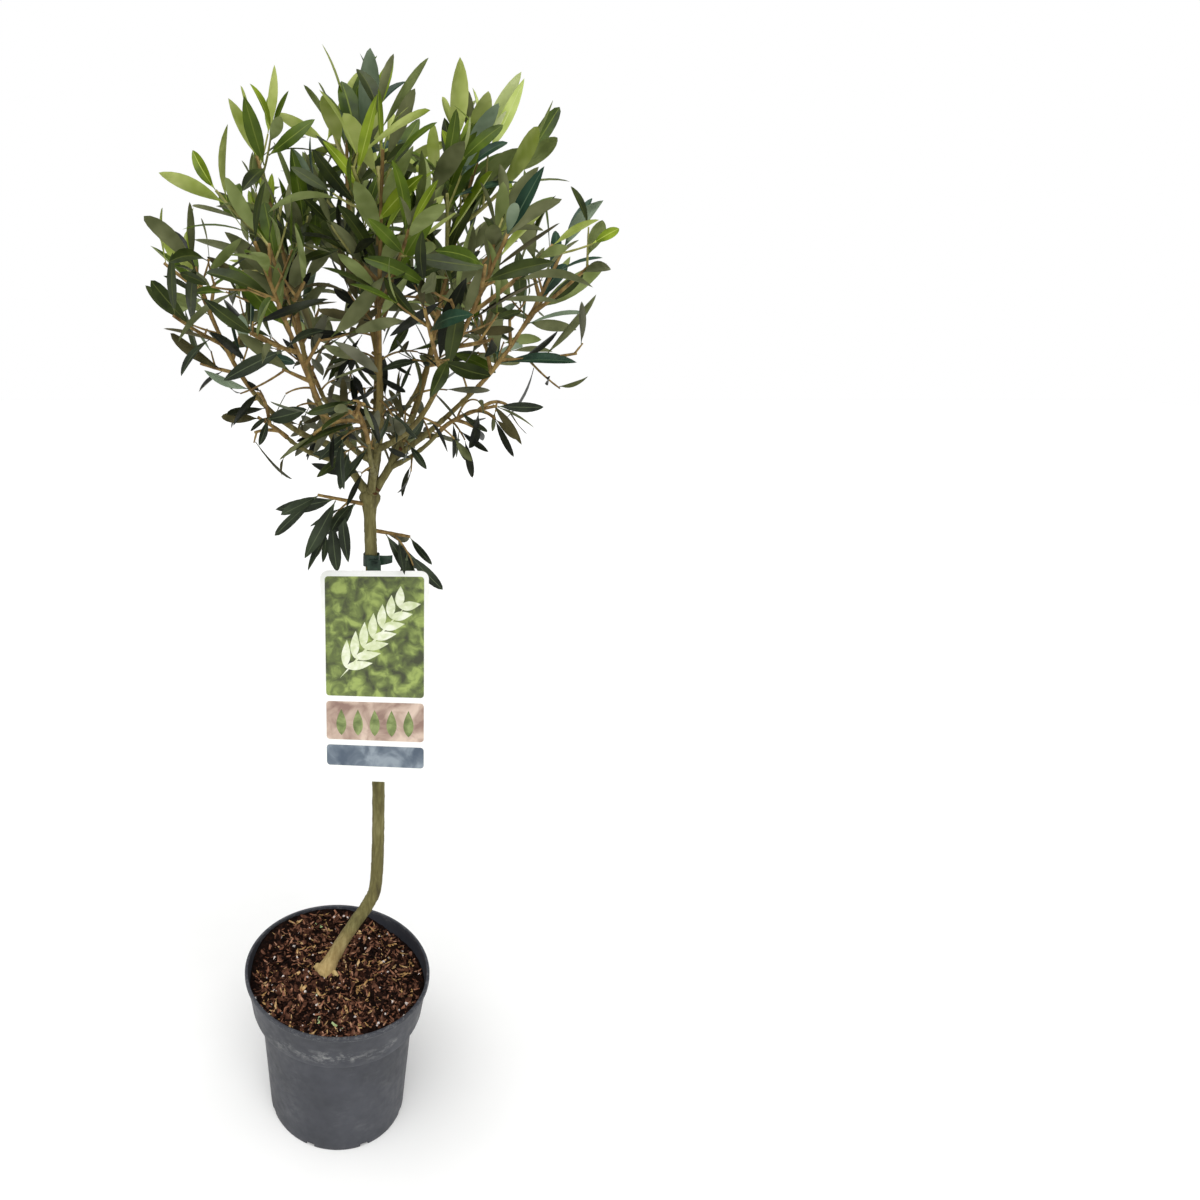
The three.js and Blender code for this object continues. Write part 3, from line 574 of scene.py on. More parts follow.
def new_twig(curve, radii, end=1, spray=0, parent=None, at=0):
    """A twig or bough. at is where on its parent it starts, and last where its last leaf stands."""
    return Named(curve=curve, radii=radii, end=end, spray=spray, parent=parent, at=at, last=0)


def make_boughs():
    made = {}
    for name, carrier, at, end, bow, radii in BOUGHS:
        start = made[carrier].curve.at(at) if carrier else FORK.copy()
        end = Vector(end)
        made[name] = new_twig(Bend(start, (start + end) / 2 + Vector(bow) * 2, end), radii)
    return made


boughs = make_boughs()


# Growth of twigs and leaves


def random_from(seed):
    """Numbers from 0 to 1 or between a pair, the same ones for the same seed, as in the part's source"""
    mask = 0xFFFFFFFF
    state = seed & mask

    def draw(pair=(0, 1)):
        nonlocal state
        state = (state + 0x6D2B79F5) & mask
        mixed = ((state ^ (state >> 15)) * (state | 1)) & mask
        mixed = (mixed ^ (mixed + (mixed ^ (mixed >> 7)) * (mixed | 61))) & mask
        return blend(pair, (mixed ^ (mixed >> 14)) / (mask + 1))

    return draw


def line_gaps(a, b, starts, ends):
    """The shortest distances from the line a-b to many lines"""
    first, second, between = b - a, ends - starts, a - starts
    aa = max(first @ first, 1e-9)
    bb = np.maximum((second * second).sum(1), 1e-9)
    ab, ac, bc = second @ first, between @ first, (second * between).sum(1)
    spread = aa * bb - ab * ab
    on_first = np.where(spread > 1e-9, np.clip((ab * bc - ac * bb) / np.maximum(spread, 1e-9), 0, 1), 0)
    on_second = np.clip((ab * on_first + bc) / bb, 0, 1)
    on_first = np.clip((ab * on_second - ac) / aa, 0, 1)
    return np.linalg.norm(between + np.outer(on_first, first) - second * on_second[:, None], axis=1)


def limb_pieces():
    """Starts, ends and radii of straight pieces of every limb, which the leaves keep clear of"""
    line = marks(trunk_curve, TRUNK.steps)
    rows = [(a, b, max(trunk_radius(a.z), trunk_radius(b.z))) for a, b in zip(line, line[1:])]
    for bough in boughs.values():
        line = marks(bough.curve, BOUGH_STEPS)
        rows += [(line[i], line[i + 1], blend(bough.radii, i / BOUGH_STEPS)) for i in range(BOUGH_STEPS)]
    return [np.array(column) for column in zip(*rows)]


limb_starts, limb_ends, limb_radii = limb_pieces()


def clear_of_limbs(start, end, half_width):
    gaps = line_gaps(np.array(start), np.array(end), limb_starts, limb_ends)
    return bool((gaps > limb_radii + half_width + CLEARANCE).all())


class Leaves:
    """All leaves so far, with the lines of their blades for the test of their gaps"""

    def __init__(self):
        self.rows = []
        self.blades = np.zeros((MOST_LEAVES, 2, 3))
        self.luck = random_from(OPEN.seed)

    def clear(self, start, end, gap):
        lines = self.blades[: len(self.rows)]
        return bool((line_gaps(np.array(start), np.array(end), lines[:, 0], lines[:, 1]) > gap).all())

    def add(self, leaf):
        self.blades[len(self.rows)] = leaf.blade
        self.rows.append(leaf)


def crown_share(point):
    """How far out a point is, from 0 in the crown's middle to 1 at its edge"""
    away = point - CROWN.centre
    return math.sqrt(sum((away[k] / CROWN.radii[k]) ** 2 for k in range(3)))


def in_space(point, mass, margin=0):
    return bool((mass.outward @ np.array(point) + margin < mass.limits).all())


def leaning(axis, angle, turn):
    across = axis.cross(UP).normalized()
    square = across.cross(axis)
    return axis * math.cos(angle) + (across * math.cos(turn) + square * math.sin(turn)) * math.sin(angle)


def left_out(mass, twig, along, tip, leaves, rule):
    """Whether a leaf is left out, so that the sky shows"""
    outward = math.hypot(tip.x - CROWN.centre.x, tip.y - CROWN.centre.y)
    last = along >= RULE.tip_along * twig.end or outward > OPEN.kept
    if not mass.bough or (last and not rule.fine):
        return False
    share = OPEN.least + OPEN.most * smoothstep(outward, *OPEN.reach)
    return leaves.luck() < share + OPEN.low * (1 - smoothstep(tip.z, *OPEN.heights))


def grow_leaf(mass, twig, along, angle, turn, roll, length, leaves, rule):
    """The first place round the twig where a leaf is clear. Fine ones may enter another mass's space."""
    place, axis = twig.curve.at(along), twig.curve.heading(along)
    radius = blend(twig.radii, along / twig.end)
    gap = rule.leaf_gap * RULE.width * length
    for extra, share in RULE.tries:
        out = leaning(axis, angle * share, turn + extra * DEGREE)
        out = (out + UP * RULE.leaf_rise * mass.rise).normalized()
        across = Matrix.Rotation(roll, 3, out) @ axis.cross(out).normalized()
        tip = place + out * length
        side = across * (0.5 * RULE.width * length)
        widest = place + out * (RULE.widest * length)
        if mass.bough and crown_share(tip) >= rule.leaf_crown:
            continue
        edges = (tip, place, widest + side, widest - side)
        if not rule.fine and not all(in_space(edge, mass) for edge in edges):
            continue
        blade = (place + out * (RULE.blade_foot * length), tip)
        half_width = RULE.blade_width * RULE.width * length
        if not leaves.clear(*blade, gap) or not clear_of_limbs(*blade, half_width):
            continue
        if not left_out(mass, twig, along, tip, leaves, rule):
            twig.last = max(twig.last, along)
            leaves.add(Named(
                foot=place + out * (0.5 * radius), out=out, across=across, face=out.cross(across),
                length=length, blade=blade, along=along, rise=mass.rise, sprig=not mass.bough,
                spray=twig.spray,
            ))
        return


def grow_leaves(mass, twig, random, leaves, rule, size=1, bare=1):
    """Pairs of leaves up a twig, each pair a quarter turn from the last, and a tuft at its tip"""

    def varied():
        return 1 + RULE.variation * (2 * random() - 1)

    turn = TURN * random()
    length = twig.curve.length
    spots = np.arange(bare * rule.bare_foot, length - RULE.bare_tip, rule.internode)
    rows = [(at / length, blend(RULE.leaf_angle, at / length), 1) for at in spots]
    rows.append((RULE.tip_along * twig.end, RULE.tip_angle, RULE.tip_leaf))
    for pair, (along, angle, share) in enumerate(rows):
        for side in (0, math.pi):
            full = mass.leaf * size * share * varied()
            lean = angle * DEGREE * varied()
            roll = (random() - 0.5) * RULE.leaf_roll * DEGREE
            if along <= twig.end:
                around = turn + side + pair * math.pi / 2
                grow_leaf(mass, twig, along, lean, around, roll, full, leaves, rule)


def side_twig(mass, parent, at, angle, turn, length, rule, spray):
    """A twig up to where it leaves its space or meets a limb, or nothing where that is too short"""
    out = leaning(parent.curve.heading(at), angle, turn)
    start = parent.curve.at(at) + out * blend(parent.radii, at) * rule.sunk
    middle = start + out * (length / 2)
    curve = Bend(start, middle, middle + (out + UP * mass.rise).normalized() * (length / 2))
    end = 0
    line = marks(curve, RULE.checks)
    for i, (here, there) in enumerate(zip(line, line[1:]), 1):
        if rule.fine and mass.bough and crown_share(there) >= rule.twig_crown:
            break
        if not rule.fine and not in_space(there, mass, rule.radii[0]):
            break
        if i > rule.held_foot * RULE.checks and not clear_of_limbs(here, there, rule.radii[0]):
            break
        end = i / RULE.checks
    return new_twig(curve, rule.radii, end, spray, parent, at) if end >= RULE.least_shoot else None


def grow_mass(mass, leaves):
    """The twigs and leaves that the part's source grows"""
    stem = new_twig(mass.stem, RULE.stem_radii, 1, mass.seed)
    random = random_from(100 * mass.seed)
    first_turn = TURN * random()
    twigs = [stem]
    grow_leaves(mass, stem, random, leaves, RULE, bare=2 if mass.bough else 1)
    for i in range(mass.shoots):
        random = random_from(100 * mass.seed + i + 1)
        along = blend((RULE.first_shoot, RULE.last_shoot), (i + 0.5) / mass.shoots)
        length = mass.spread * (1 - RULE.shoot_shrink * along) * random(RULE.length_luck)
        angle = blend(RULE.shoot_angle, along) * DEGREE * random(RULE.angle_luck)
        turn = first_turn + i * GOLDEN_TURN
        shoot = side_twig(mass, stem, along, angle, turn, length, RULE, mass.seed + 31 * i)
        if shoot:
            twigs.append(shoot)
            grow_leaves(mass, shoot, random, leaves, RULE)
    return twigs


def grow_fine(mass, twigs, leaves):
    """Side twigs between the source's leaves, with smaller leaves"""
    grown = []
    for k, twig in enumerate(twigs):
        random = random_from(FINE.seed + 100 * mass.seed + k)
        turn = TURN * random()
        length = twig.curve.length
        for i, at in enumerate(np.arange(FINE.first * FINE.spacing, length * twig.end, FINE.spacing)):
            along = at / length
            reach = random(FINE.length) * (1 - FINE.shrink * along)
            angle = blend(FINE.angle, along) * DEGREE * random(RULE.angle_luck)
            around = turn + i * GOLDEN_TURN
            side = side_twig(mass, twig, along, angle, around, reach, FINE, twig.spray + 7 * i + 1)
            if side:
                grown.append(side)
                grow_leaves(mass, side, random, leaves, FINE, random(FINE.leaf))
    return grown


def grow_spurs(leaves):
    """The spurs, with small dark leaves"""
    grown = []
    mass = Named(bough=True, rise=SPUR.rise, leaf=SPUR.full_leaf)
    for k, bough in enumerate(boughs.values()):
        random = random_from(SPUR.seed + k)
        first_turn = TURN * random()
        length = bough.curve.length
        for i, at in enumerate(np.arange(SPUR.bare_bough * length, length, SPUR.spacing)):
            reach = random(SPUR.length)
            angle = random(SPUR.angle) * DEGREE
            size = random(SPUR.leaf)
            turn = first_turn + i * GOLDEN_TURN
            spur = side_twig(mass, bough, at / length, angle, turn, reach, SPUR, SPUR.seed + 50 * k + i)
            if spur:
                grown.append(spur)
                grow_leaves(mass, spur, random, leaves, SPUR, size)
    return grown


def mass_stem(carrier, end):
    if isinstance(carrier, str):
        heading = boughs[carrier].curve.heading(1)
        start = boughs[carrier].curve.at(1) + heading * CLEARANCE
    else:
        start = on_trunk(carrier)
        heading = (end - start).normalized()
    return Bend(start, start + heading * (RULE.stem_spring * (end - start).length), end)


def set_spaces():
    """Each mass owns the space that lies nearer to its heart than to any other's, as in the part's source"""
    masses = []
    for index, (_, carrier, reach, shoots, spread, rise, leaf) in enumerate(MASSES):
        stem = mass_stem(carrier, Vector(reach))
        masses.append(Named(
            bough=isinstance(carrier, str), stem=stem, heart=stem.at(0).lerp(stem.at(1), RULE.heart_along),
            shoots=shoots, spread=spread, rise=rise, leaf=leaf, seed=RULE.seed + index,
        ))
    for mass in masses:
        others = [other.heart for other in masses if other is not mass]
        outward = [(heart - mass.heart).normalized() for heart in others]
        middles = [mass.heart.lerp(heart, 0.5) for heart in others]
        mass.outward = np.array(outward)
        mass.limits = np.array([o.dot(m) - RULE.space_gap / 2 for o, m in zip(outward, middles)])
    return masses


# Places along a leaf and across its two faces, from -1 to 1. The outer ones on top are the rim.
STATIONS = np.array([0, 0.05, 0.12, 0.22, 0.35, 0.48, 0.6, 0.72, 0.84, 0.94])
STALK_STATIONS = 2
TOP_ACROSS = np.array([-1, -0.55, -0.07, 0.07, 0.55, 1])
UNDER_ACROSS = np.array([0.55, 0, -0.55])
ACROSS = np.concatenate([TOP_ACROSS, UNDER_ACROSS])
RING = len(ACROSS)
TOP, UNDER, RIB = 0, 1, 2


def leaf_kind(station, across):
    if station < STALK_STATIONS or across == 2:
        return RIB
    return TOP if across < len(TOP_ACROSS) - 1 else UNDER


def leaf_faces():
    """A leaf's faces and their materials: the rings, the stalk's end and the fan of the tip"""
    last = len(STATIONS) - 1
    faces = stack_faces(len(STATIONS), RING)[:-1]
    faces += [(last * RING + k, (last + 1) * RING, last * RING + (k + 1) % RING) for k in range(RING)]
    kinds = [leaf_kind(i, k) for i in range(last + 1) for k in range(RING)]
    kinds.insert(last * RING, RIB)
    return faces, kinds


LEAF_FACES, LEAF_KINDS = leaf_faces()
RIM = np.append(np.tile(np.abs(ACROSS) == 1, len(STATIONS)), True)


def leaf_outline(along, blunt):
    """Half width from 0 to 1: a stalk, then a blade widest past its middle"""
    blade = np.clip((along - LEAF.stalk_length) / (1 - LEAF.stalk_length), 0, 1)
    rise = LEAF.rise
    peak = rise / (rise + blunt)
    shape = blade**rise * (1 - blade) ** blunt / (peak**rise * (1 - peak) ** blunt)
    return np.maximum(shape, LEAF.stalk * (along < 0.5))


def leaf_vertices(leaf, random):
    """A leaf bent along its length and folded along its rib"""
    length = leaf.length * leaf.scale
    half = 0.5 * length * random(LEAF.width) * leaf.slim
    bend = random(LEAF.bend if leaf.rise > 0 else LEAF.hanging_bend)
    sway = random(LEAF.sway)
    fold = blend(LEAF.fold, random() ** LEAF.fold_luck)
    twist = random(LEAF.twist)
    blunt = random(LEAF.blunt)
    along = np.append(STATIONS, 1)
    fine = np.linspace(0, 1, LEAF.bend_marks)
    heading = bend * fine**LEAF.arc
    run = np.interp(along, fine, np.cumsum(np.cos(heading)) / LEAF.bend_marks) * length
    drop = -np.interp(along, fine, np.cumsum(np.sin(heading)) / LEAF.bend_marks) * length
    aside = sway * LEAF.sway_reach * length * along**2
    out, across, face = (np.array(axis) for axis in (leaf.out, leaf.across, leaf.face))
    if leaf.sprig:
        across, face = (-face, across) if across[1] < 0 else (face, -across)
    spine = np.array(leaf.foot) + np.outer(run, out) + np.outer(drop, face) + np.outer(aside, across)
    width = half * leaf_outline(STATIONS, blunt)
    thick = np.interp(STATIONS, *LEAF.thickness_along) * LEAF.thickness / 2
    turn = twist * STATIONS
    wide = np.outer(np.cos(turn), across) + np.outer(np.sin(turn), face)
    high = np.outer(np.cos(turn), face) - np.outer(np.sin(turn), across)
    side = np.where(np.arange(RING) < len(TOP_ACROSS), 1.0, -1.0) * (1 - ACROSS**2)
    sideways = width[:, None] * ACROSS * math.cos(fold)
    lift = width[:, None] * np.abs(ACROSS) * math.sin(fold) + thick[:, None] * side
    lift[:, 2:4] -= LEAF.groove * thick[:, None]
    rings = spine[:-1, None] + sideways[:, :, None] * wide[:, None] + lift[:, :, None] * high[:, None]
    return np.concatenate([rings.reshape(-1, 3), spine[-1:]])


def leaf_looks(name):
    upper, under, rib, roughness = LEAF_LOOKS[name]
    parts = (("upper", upper, roughness), ("under", under, 0.7), ("rib", (rib, rib), 0.55))
    return [
        grained(
            f"leaf_{name}_{part}", rough, LEAF.sheen, (22, 2), tones, (3, rough - 0.07, rough + 0.1),
            ((1.2, 2), 0.12, 0.5), (0.32, 0.68),
        )
        for part, tones, rough in parts
    ]


def leaf_name(leaf, random):
    """The kind of a leaf by its age and painted light, paler high and outward and darker low inside the
    crown, which its spray's luck and its own shift
    """
    spray = random_from(leaf.spray * 13 + 5)
    spray_luck, tone_luck = spray(), spray()
    middle = (leaf.blade[0] + leaf.blade[1]) / 2
    # Height and reach out of the crown make a leaf paler: painted light at the top and painted shade low
    # inside
    age = AGE_AND_LIGHT.high * (middle.z - AGE_AND_LIGHT.foot) / AGE_AND_LIGHT.height + AGE_AND_LIGHT.outward * crown_share(middle)
    age += AGE_AND_LIGHT.along * leaf.along + AGE_AND_LIGHT.spray_luck * (spray_luck - 0.5) + AGE_AND_LIGHT.luck * (random() - 0.5)
    if tone_luck < BLUE.share and age > BLUE.age:
        return "blue"
    for name, least in KINDS_BY_AGE_AND_LIGHT:
        if age > least:
            return name
    return "grey" if leaf.sprig or tone_luck > DARK_SHARE else "dark"


def crosses_card(vertices):
    """Whether a leaf would pass through the hanging card"""
    place = hung.inverted()
    flat = np.array([place @ Vector(vertex) for vertex in vertices])
    over = (np.abs(flat[:, 0]) < LABEL.width / 2) & (flat[:, 2] < 0) & (flat[:, 2] > -LABEL.height)
    depths = flat[over, 1]
    return bool(over.any() and depths.min() < LABEL.thickness and depths.max() > -LABEL.thickness)


def make_leaves(leaves, nodes):
    heaps = {name: Heap() for name in LEAF_LOOKS}
    random = random_from(LEAF.seed)
    for leaf in leaves.rows:
        name = leaf_name(leaf, random)
        near_top = smoothstep(leaf.blade[1].z, *LEAF.top)
        leaf.scale = random(LEAF.life_size) * (1 + LEAF.top_size * near_top)
        leaf.slim = LEAF.slim if name == "dark" else 1
        vertices = leaf_vertices(leaf, random)
        if not leaf.sprig or not crosses_card(vertices):
            heaps[name].add(vertices, LEAF_FACES, LEAF_KINDS)
    for name, heap in heaps.items():
        rims = np.tile(RIM, len(heap.vertices))
        heap.piece(f"leaves_{name}", leaf_looks(name), "leaves", nodes, sharp=rims)


def swelling(distance, spacing, width):
    """From 0 to 1 at the joints, which stand evenly along a limb"""
    return math.exp(-(((distance / spacing % 1 - 0.5) / width) ** 2))


def make_twigs(twigs, nodes):
    """All twigs that carry leaves or other twigs, up to the last of them"""
    heap = Heap()
    for twig in reversed(twigs):
        if twig.parent and twig.last:
            twig.parent.last = max(twig.parent.last, twig.at)
    for twig in [twig for twig in twigs if twig.last]:
        length = twig.curve.length
        end = min(twig.end, twig.last + TWIG.past_leaf / length)
        count = max(4, round(length * end / TWIG.step))
        radii = []
        for i in range(count + 1):
            joint = swelling(i / count * end * length, TWIG.joints, TWIG.joint_width)
            radii.append(blend(twig.radii, i / count) * (1 + TWIG.swelling * joint))
        young = int(twig.curve.at(0).z > TWIG.young)
        heap.add(*tube(marks(twig.curve, count, end), radii, TWIG.sides), young)
    heap.piece("twigs", [twig_look(name) for name in TWIG_TONES], "bark", nodes)


def twig_look(name):
    stripes = (6, 4, 0.55, 0, (1, 1, 0.4))
    return grained(name, 0.7, 0.35, stripes, TWIG_TONES[name], (2, 0.6, 0.85), ((0.8, 3), 0.2))


def bark_relief(point):
    """Lengthwise ridges, small swellings and warts, in millimetres"""
    ridges = noise.noise(Vector([point[k] * RELIEF.ridge_scale[k] for k in range(3)]))
    lumps = noise.noise(point * RELIEF.lump_scale)
    warts = max(0, noise.noise(point * RELIEF.wart_scale + RELIEF.wart_shift) - RELIEF.wart_least)
    near_fork = math.exp(-(((point.z - FORK.z) / RELIEF.fork_height) ** 2))
    lump = RELIEF.lump + RELIEF.fork_lump * near_fork
    return RELIEF.ridge * ridges + lump * lumps + RELIEF.wart * warts


def bark_look():
    """Greyish streaks, pale at the foot and warmer in patches up in the crown"""
    look = Look("olive_bark", 0.8, 0.3)
    streaks = look.noise(5, 5, 0.65, 0.4, (1, 1, 0.18))
    patches = look.noise(26, 3)
    base = look.ramp(streaks, (0x4B4428, 0x6C663C, 0x8B8558), (0.28, 0.5, 0.72))
    warm = look.ramp(streaks, (0x644818, 0x9E7C3C))
    height = look.height()
    foot = look.range(height, 0.16, 0.205, 1, 0)
    crown = look.range(height, 0.7, 0.77, 0, 1.1)
    tinted = look.mix(look.times(crown, patches), base, warm)
    look.colour(look.mix(foot, tinted, look.ramp(streaks, (0x9A8250, 0xC4AC78))))
    look.rough(patches, 0.72, 0.9)
    look.bump(look.noise(1.1, 5, 0.7, 0.3, (1, 1, 0.35)), 0.5, 0.8)
    return look.material


def scar_look():
    tones, places = (0x3B2415, 0x5E4026, 0x8A6A42), (0.3, 0.55, 0.75)
    return grained("cut_wood", 0.85, 0.2, (2.5, 4), tones, relief=((0.9, 3), 0.4), places=places)


def make_bark():
    heap = Heap()
    line = [point for point in marks(trunk_curve, BARK.trunk_steps) if point.z > SOIL.level - 3]
    heap.add(*tube(line, [trunk_radius(point.z) for point in line], BARK.trunk_sides, 1))
    for bough in boughs.values():
        length = bough.curve.length
        count = round(length / BARK.step)
        radii = []
        for i in range(count + 1):
            distance = i / count * length
            collar = BARK.collar * math.exp(-distance / BARK.collar_length)
            joint = BARK.swelling * swelling(distance, BARK.joints, BARK.joint_width)
            radii.append(blend(bough.radii, i / count) + collar + joint)
        heap.add(*tube(marks(bough.curve, count), radii, BARK.sides, 0.5))
    add_callus(heap)
    add_stubs(heap)
    nodes = ["trunk", *(f"bough_{name}" for name in boughs)]
    heap.piece("trunk_and_boughs", [bark_look(), scar_look()], "bark", nodes)


def lumpy_ball(centre, radius):
    """A ball with lumps, a little narrower from front to back"""

    def spot(i, k):
        rise, turn = math.pi * i / CALLUS.rings, TURN * k / CALLUS.sides
        out = Vector((math.sin(rise) * math.cos(turn), math.sin(rise) * math.sin(turn), -math.cos(rise)))
        grown = 1 + CALLUS.grain * noise.noise(out * 1.7 + centre)
        return centre + Vector([out[a] * radius * CALLUS.shape[a] * grown for a in range(3)])

    ring = [spot(i, k) for i in range(1, CALLUS.rings) for k in range(CALLUS.sides)]
    return [spot(0, 0), *ring, spot(CALLUS.rings, 0)], round_faces(CALLUS.rings - 1, CALLUS.sides)


def add_callus(heap):
    """The pale knob and the roots that flare at the trunk's foot"""
    heap.add(*lumpy_ball(Vector(CALLUS.place), CALLUS.radius))
    foot = on_trunk(SOIL.level + ROOT.start)
    radii = [blend(ROOT.radii, i / ROOT.steps) for i in range(ROOT.steps + 1)]
    for turn, reach in ROOTS:
        out = Vector((*turned(turn * DEGREE), 0))
        curve = Bend(foot, foot + out * (ROOT.middle * reach), foot + out * reach - UP * ROOT.drop)
        heap.add(*tube(marks(curve, ROOT.steps), radii, ROOT.sides, 0.5))


def add_stubs(heap):
    """Cut stubs round the fork and up the first boughs, with brown ends"""
    random = random_from(STUB.seed)
    spots = [(FORK + Vector((0, 0, random(STUB.spread))), 1) for _ in range(STUB.at_fork)]
    for name, *_ in BOUGHS[: STUB.boughs]:
        spots += [(boughs[name].curve.at(random(STUB.along)), STUB.small) for _ in range(STUB.on_bough)]
    steps = range(STUB.steps + 1)
    for centre, size in spots:
        turn = TURN * random()
        out = Vector((*turned(turn), random(STUB.rise))).normalized()
        reach = random(STUB.reach) * size
        thick = random(STUB.radius) * size
        line = [centre + out * (reach * i / STUB.steps) for i in steps]
        radii = [thick * (STUB.flare - STUB.taper * i / STUB.steps) for i in steps]
        vertices, faces = tube(line, radii, STUB.sides, 0.4)
        heap.add(vertices, faces, [0] * (len(faces) - 1) + [1])


# Pot and mix


def pot_inside(height):
    """The radius inside the wall at a height"""
    collar_foot = POT.height - POT.collar
    rise = (height - collar_foot) / (POT.collar - POT.rim_depth)
    if rise >= 0:
        return blend((POT.collar_foot, POT.rim - POT.rim_lip), rise) - POT.wall
    return blend((POT.foot, POT.body), height / POT.body_top) - POT.wall


def pot_profile():
    """The wall from the middle of its underside, up the outside and down the inside, with rounded edges"""
    foot, body, rim, collar = POT.foot, POT.body, POT.rim, POT.collar_foot
    top, body_top, collar_height = POT.height, POT.body_top, POT.height - POT.collar
    rim_foot = top - POT.rim_depth
    wall_top = rim - POT.rim_lip
    inner = wall_top - POT.wall
    line = [(0, POT.base), (foot - 9, POT.base), (foot - 7, 0), (foot - 1.6, 0), (foot - 0.4, 0.5)]
    line += [(blend((foot, body), i / 20), blend((POT.foot_round, body_top), i / 20)) for i in range(21)]
    line += [(body + 1.2, body_top + 0.5), (collar - 0.6, collar_height - 0.5)]
    for i in range(1, 15):
        share = i / 14
        hollow = 0.3 * math.sin(math.pi * share)
        line.append((blend((collar, wall_top), share) - hollow, blend((collar_height, rim_foot), share)))
    line += [(rim - 0.5, rim_foot + 0.2), (rim, rim_foot + 1.1), (rim, top - 1.2), (rim - 0.5, top - 0.3)]
    line += [(rim - 1.3, top), (inner + 0.9, top), (inner + 0.2, top - 0.4), (inner, top - 1.4)]
    line.append((inner, rim_foot))
    line += [(pot_inside(h), h) for h in (150, 135, collar_height + 0.5, body_top, POT.floor)]
    return [*line, (0, POT.floor)]


def pot_look():
    """Dull dark plastic with scuffs on its collar, a worn rim and specks of soil low down"""
    look = Look("pot_plastic", 0.55, 0.4)
    base = look.ramp(look.noise(60, 4), (0x2F3137, 0x36383F, 0x404249))
    height = look.height()
    scratch = look.range(look.noise(7, 6, 0.75, 1.2, (1, 1, 2.2)), 0.5, 0.66, 0, 1)
    near_collar = look.maths("SUBTRACT", 1, look.maths("ABSOLUTE", look.range(height, 0.126, 0.15, -1, 1)))
    patchy = look.range(look.noise(34, 2), 0.5, 0.68, 0, 1)
    smudge = look.noise(11, 6, 0.72, 0.2, (1, 1, 1.7))
    scuff = look.times(look.range(smudge, 0.47, 0.66, 0, 0.8), patchy)
    scuff = look.times(scuff, look.maths("MAXIMUM", near_collar, 0.1))
    rim_wear = look.times(look.range(height, 0.1605, 0.1635, 0, 0.22), scratch)
    worn = look.mix(look.maths("MAXIMUM", scuff, rim_wear), base, 0xA6A7A4)
    specks = look.range(look.noise(2.2, 2), 0.72, 0.76, 0, 0.85)
    low = look.range(height, 0.004, 0.032, 1, 0)
    look.colour(look.mix(look.times(specks, low), worn, 0x1C1512))
    look.rough(look.noise(9, 4), 0.46, 0.62)
    look.bump(look.noise(1.4, 3), 0.08, 0.4)
    return look.material


def make_pot():
    pot = piece("pot_shell", *lathe(pot_profile(), POT.sides), [pot_look()], "pot", ["pot"])
    notches = Heap()
    for i in range(DRAIN.count):
        out = Vector((*turned(TURN * (i + 0.5) / DRAIN.count), 0))
        side = Vector((-out.y, out.x, 0)) * (DRAIN.width / 2)
        corners = []
        for radius in (POT.foot - DRAIN.depth, POT.foot + DRAIN.depth):
            for s, z in ((-1, -1), (-1, 1), (1, 1), (1, -1)):
                corners.append(out * radius + side * s + UP * (z * DRAIN.height))
        notches.add(corners, stack_faces(2, 4))
    cutter = notches.piece("pot_notches", [], "pot", smooth=False)
    cut = pot.modifiers.new("notches", "BOOLEAN")
    cut.operation = "DIFFERENCE"
    cut.object = cutter
    cut.solver = "EXACT"
    graph = bpy.context.evaluated_depsgraph_get()
    pot.data = bpy.data.meshes.new_from_object(pot.evaluated_get(graph))
    pot.modifiers.clear()
    bpy.data.objects.remove(cutter)
    mark_sharp(pot, 32)


def soil_height(x, y):
    foot_x, foot_y, _ = TRUNK_LINE[1]
    near_wall = smoothstep(SOIL.edge - math.hypot(x, y), 0, SOIL.wall_fade)
    near_foot = smoothstep(math.hypot(x - foot_x, y - foot_y), *SOIL.foot_fade)
    mound = math.sin(x / 17 + 1.3) * math.cos(y / 14 - 0.4) + 0.5 * math.sin((x + y) / 9)
    toward = x * SOIL.bank_toward[0] + y * SOIL.bank_toward[1]
    bank = SOIL.bank * smoothstep(toward, *SOIL.bank_reach)
    return SOIL.level + bank + SOIL.unevenness * mound * near_wall * near_foot


def grainy_height(x, y):
    """The mix's surface with its crumbs"""
    height = soil_height(x, y)
    for size, scale in SOIL.crumbs:
        height += size * noise.noise(Vector((x, y, 0)) * scale)
    return height - SOIL.settled


def make_soil():
    """Rings of the top from the middle to the wall, then down the wall to a flat bottom"""
    turns = circle(SOIL.sides)
    edge = pot_inside(SOIL.level) - SOIL.wall_gap
    walls = [pot_inside(soil_height(edge * c, edge * s)) - SOIL.wall_gap for c, s in turns]
    vertices = []
    for i in range(1, SOIL.rings + 1):
        for (c, s), wall in zip(turns, walls):
            x, y = wall * i / SOIL.rings * c, wall * i / SOIL.rings * s
            vertices.append((x, y, grainy_height(x, y)))
    for height in (POT.height - POT.collar + 1, POT.body_top + 1, POT.floor + 0.5):
        radius = pot_inside(height) - SOIL.wall_gap
        vertices += [(radius * c, radius * s, height) for c, s in turns]
    faces = stack_faces(SOIL.rings + 3, SOIL.sides)
    faces[-2:-1] = [(len(vertices), k, (k + 1) % SOIL.sides) for k in range(SOIL.sides)]
    vertices.append((0, 0, grainy_height(0, 0)))
    tones = (0x060202, 0x120805, 0x2A160E)
    peat = grained("peat", 0.95, 0.08, (3.5, 5, 0.7), tones, (5, 0.85, 1), ((1.6, 5, 0.7), 1.2, 1))
    piece("potting_mix_bed", vertices, faces, [peat], "potting_mix", ["potting_mix"])


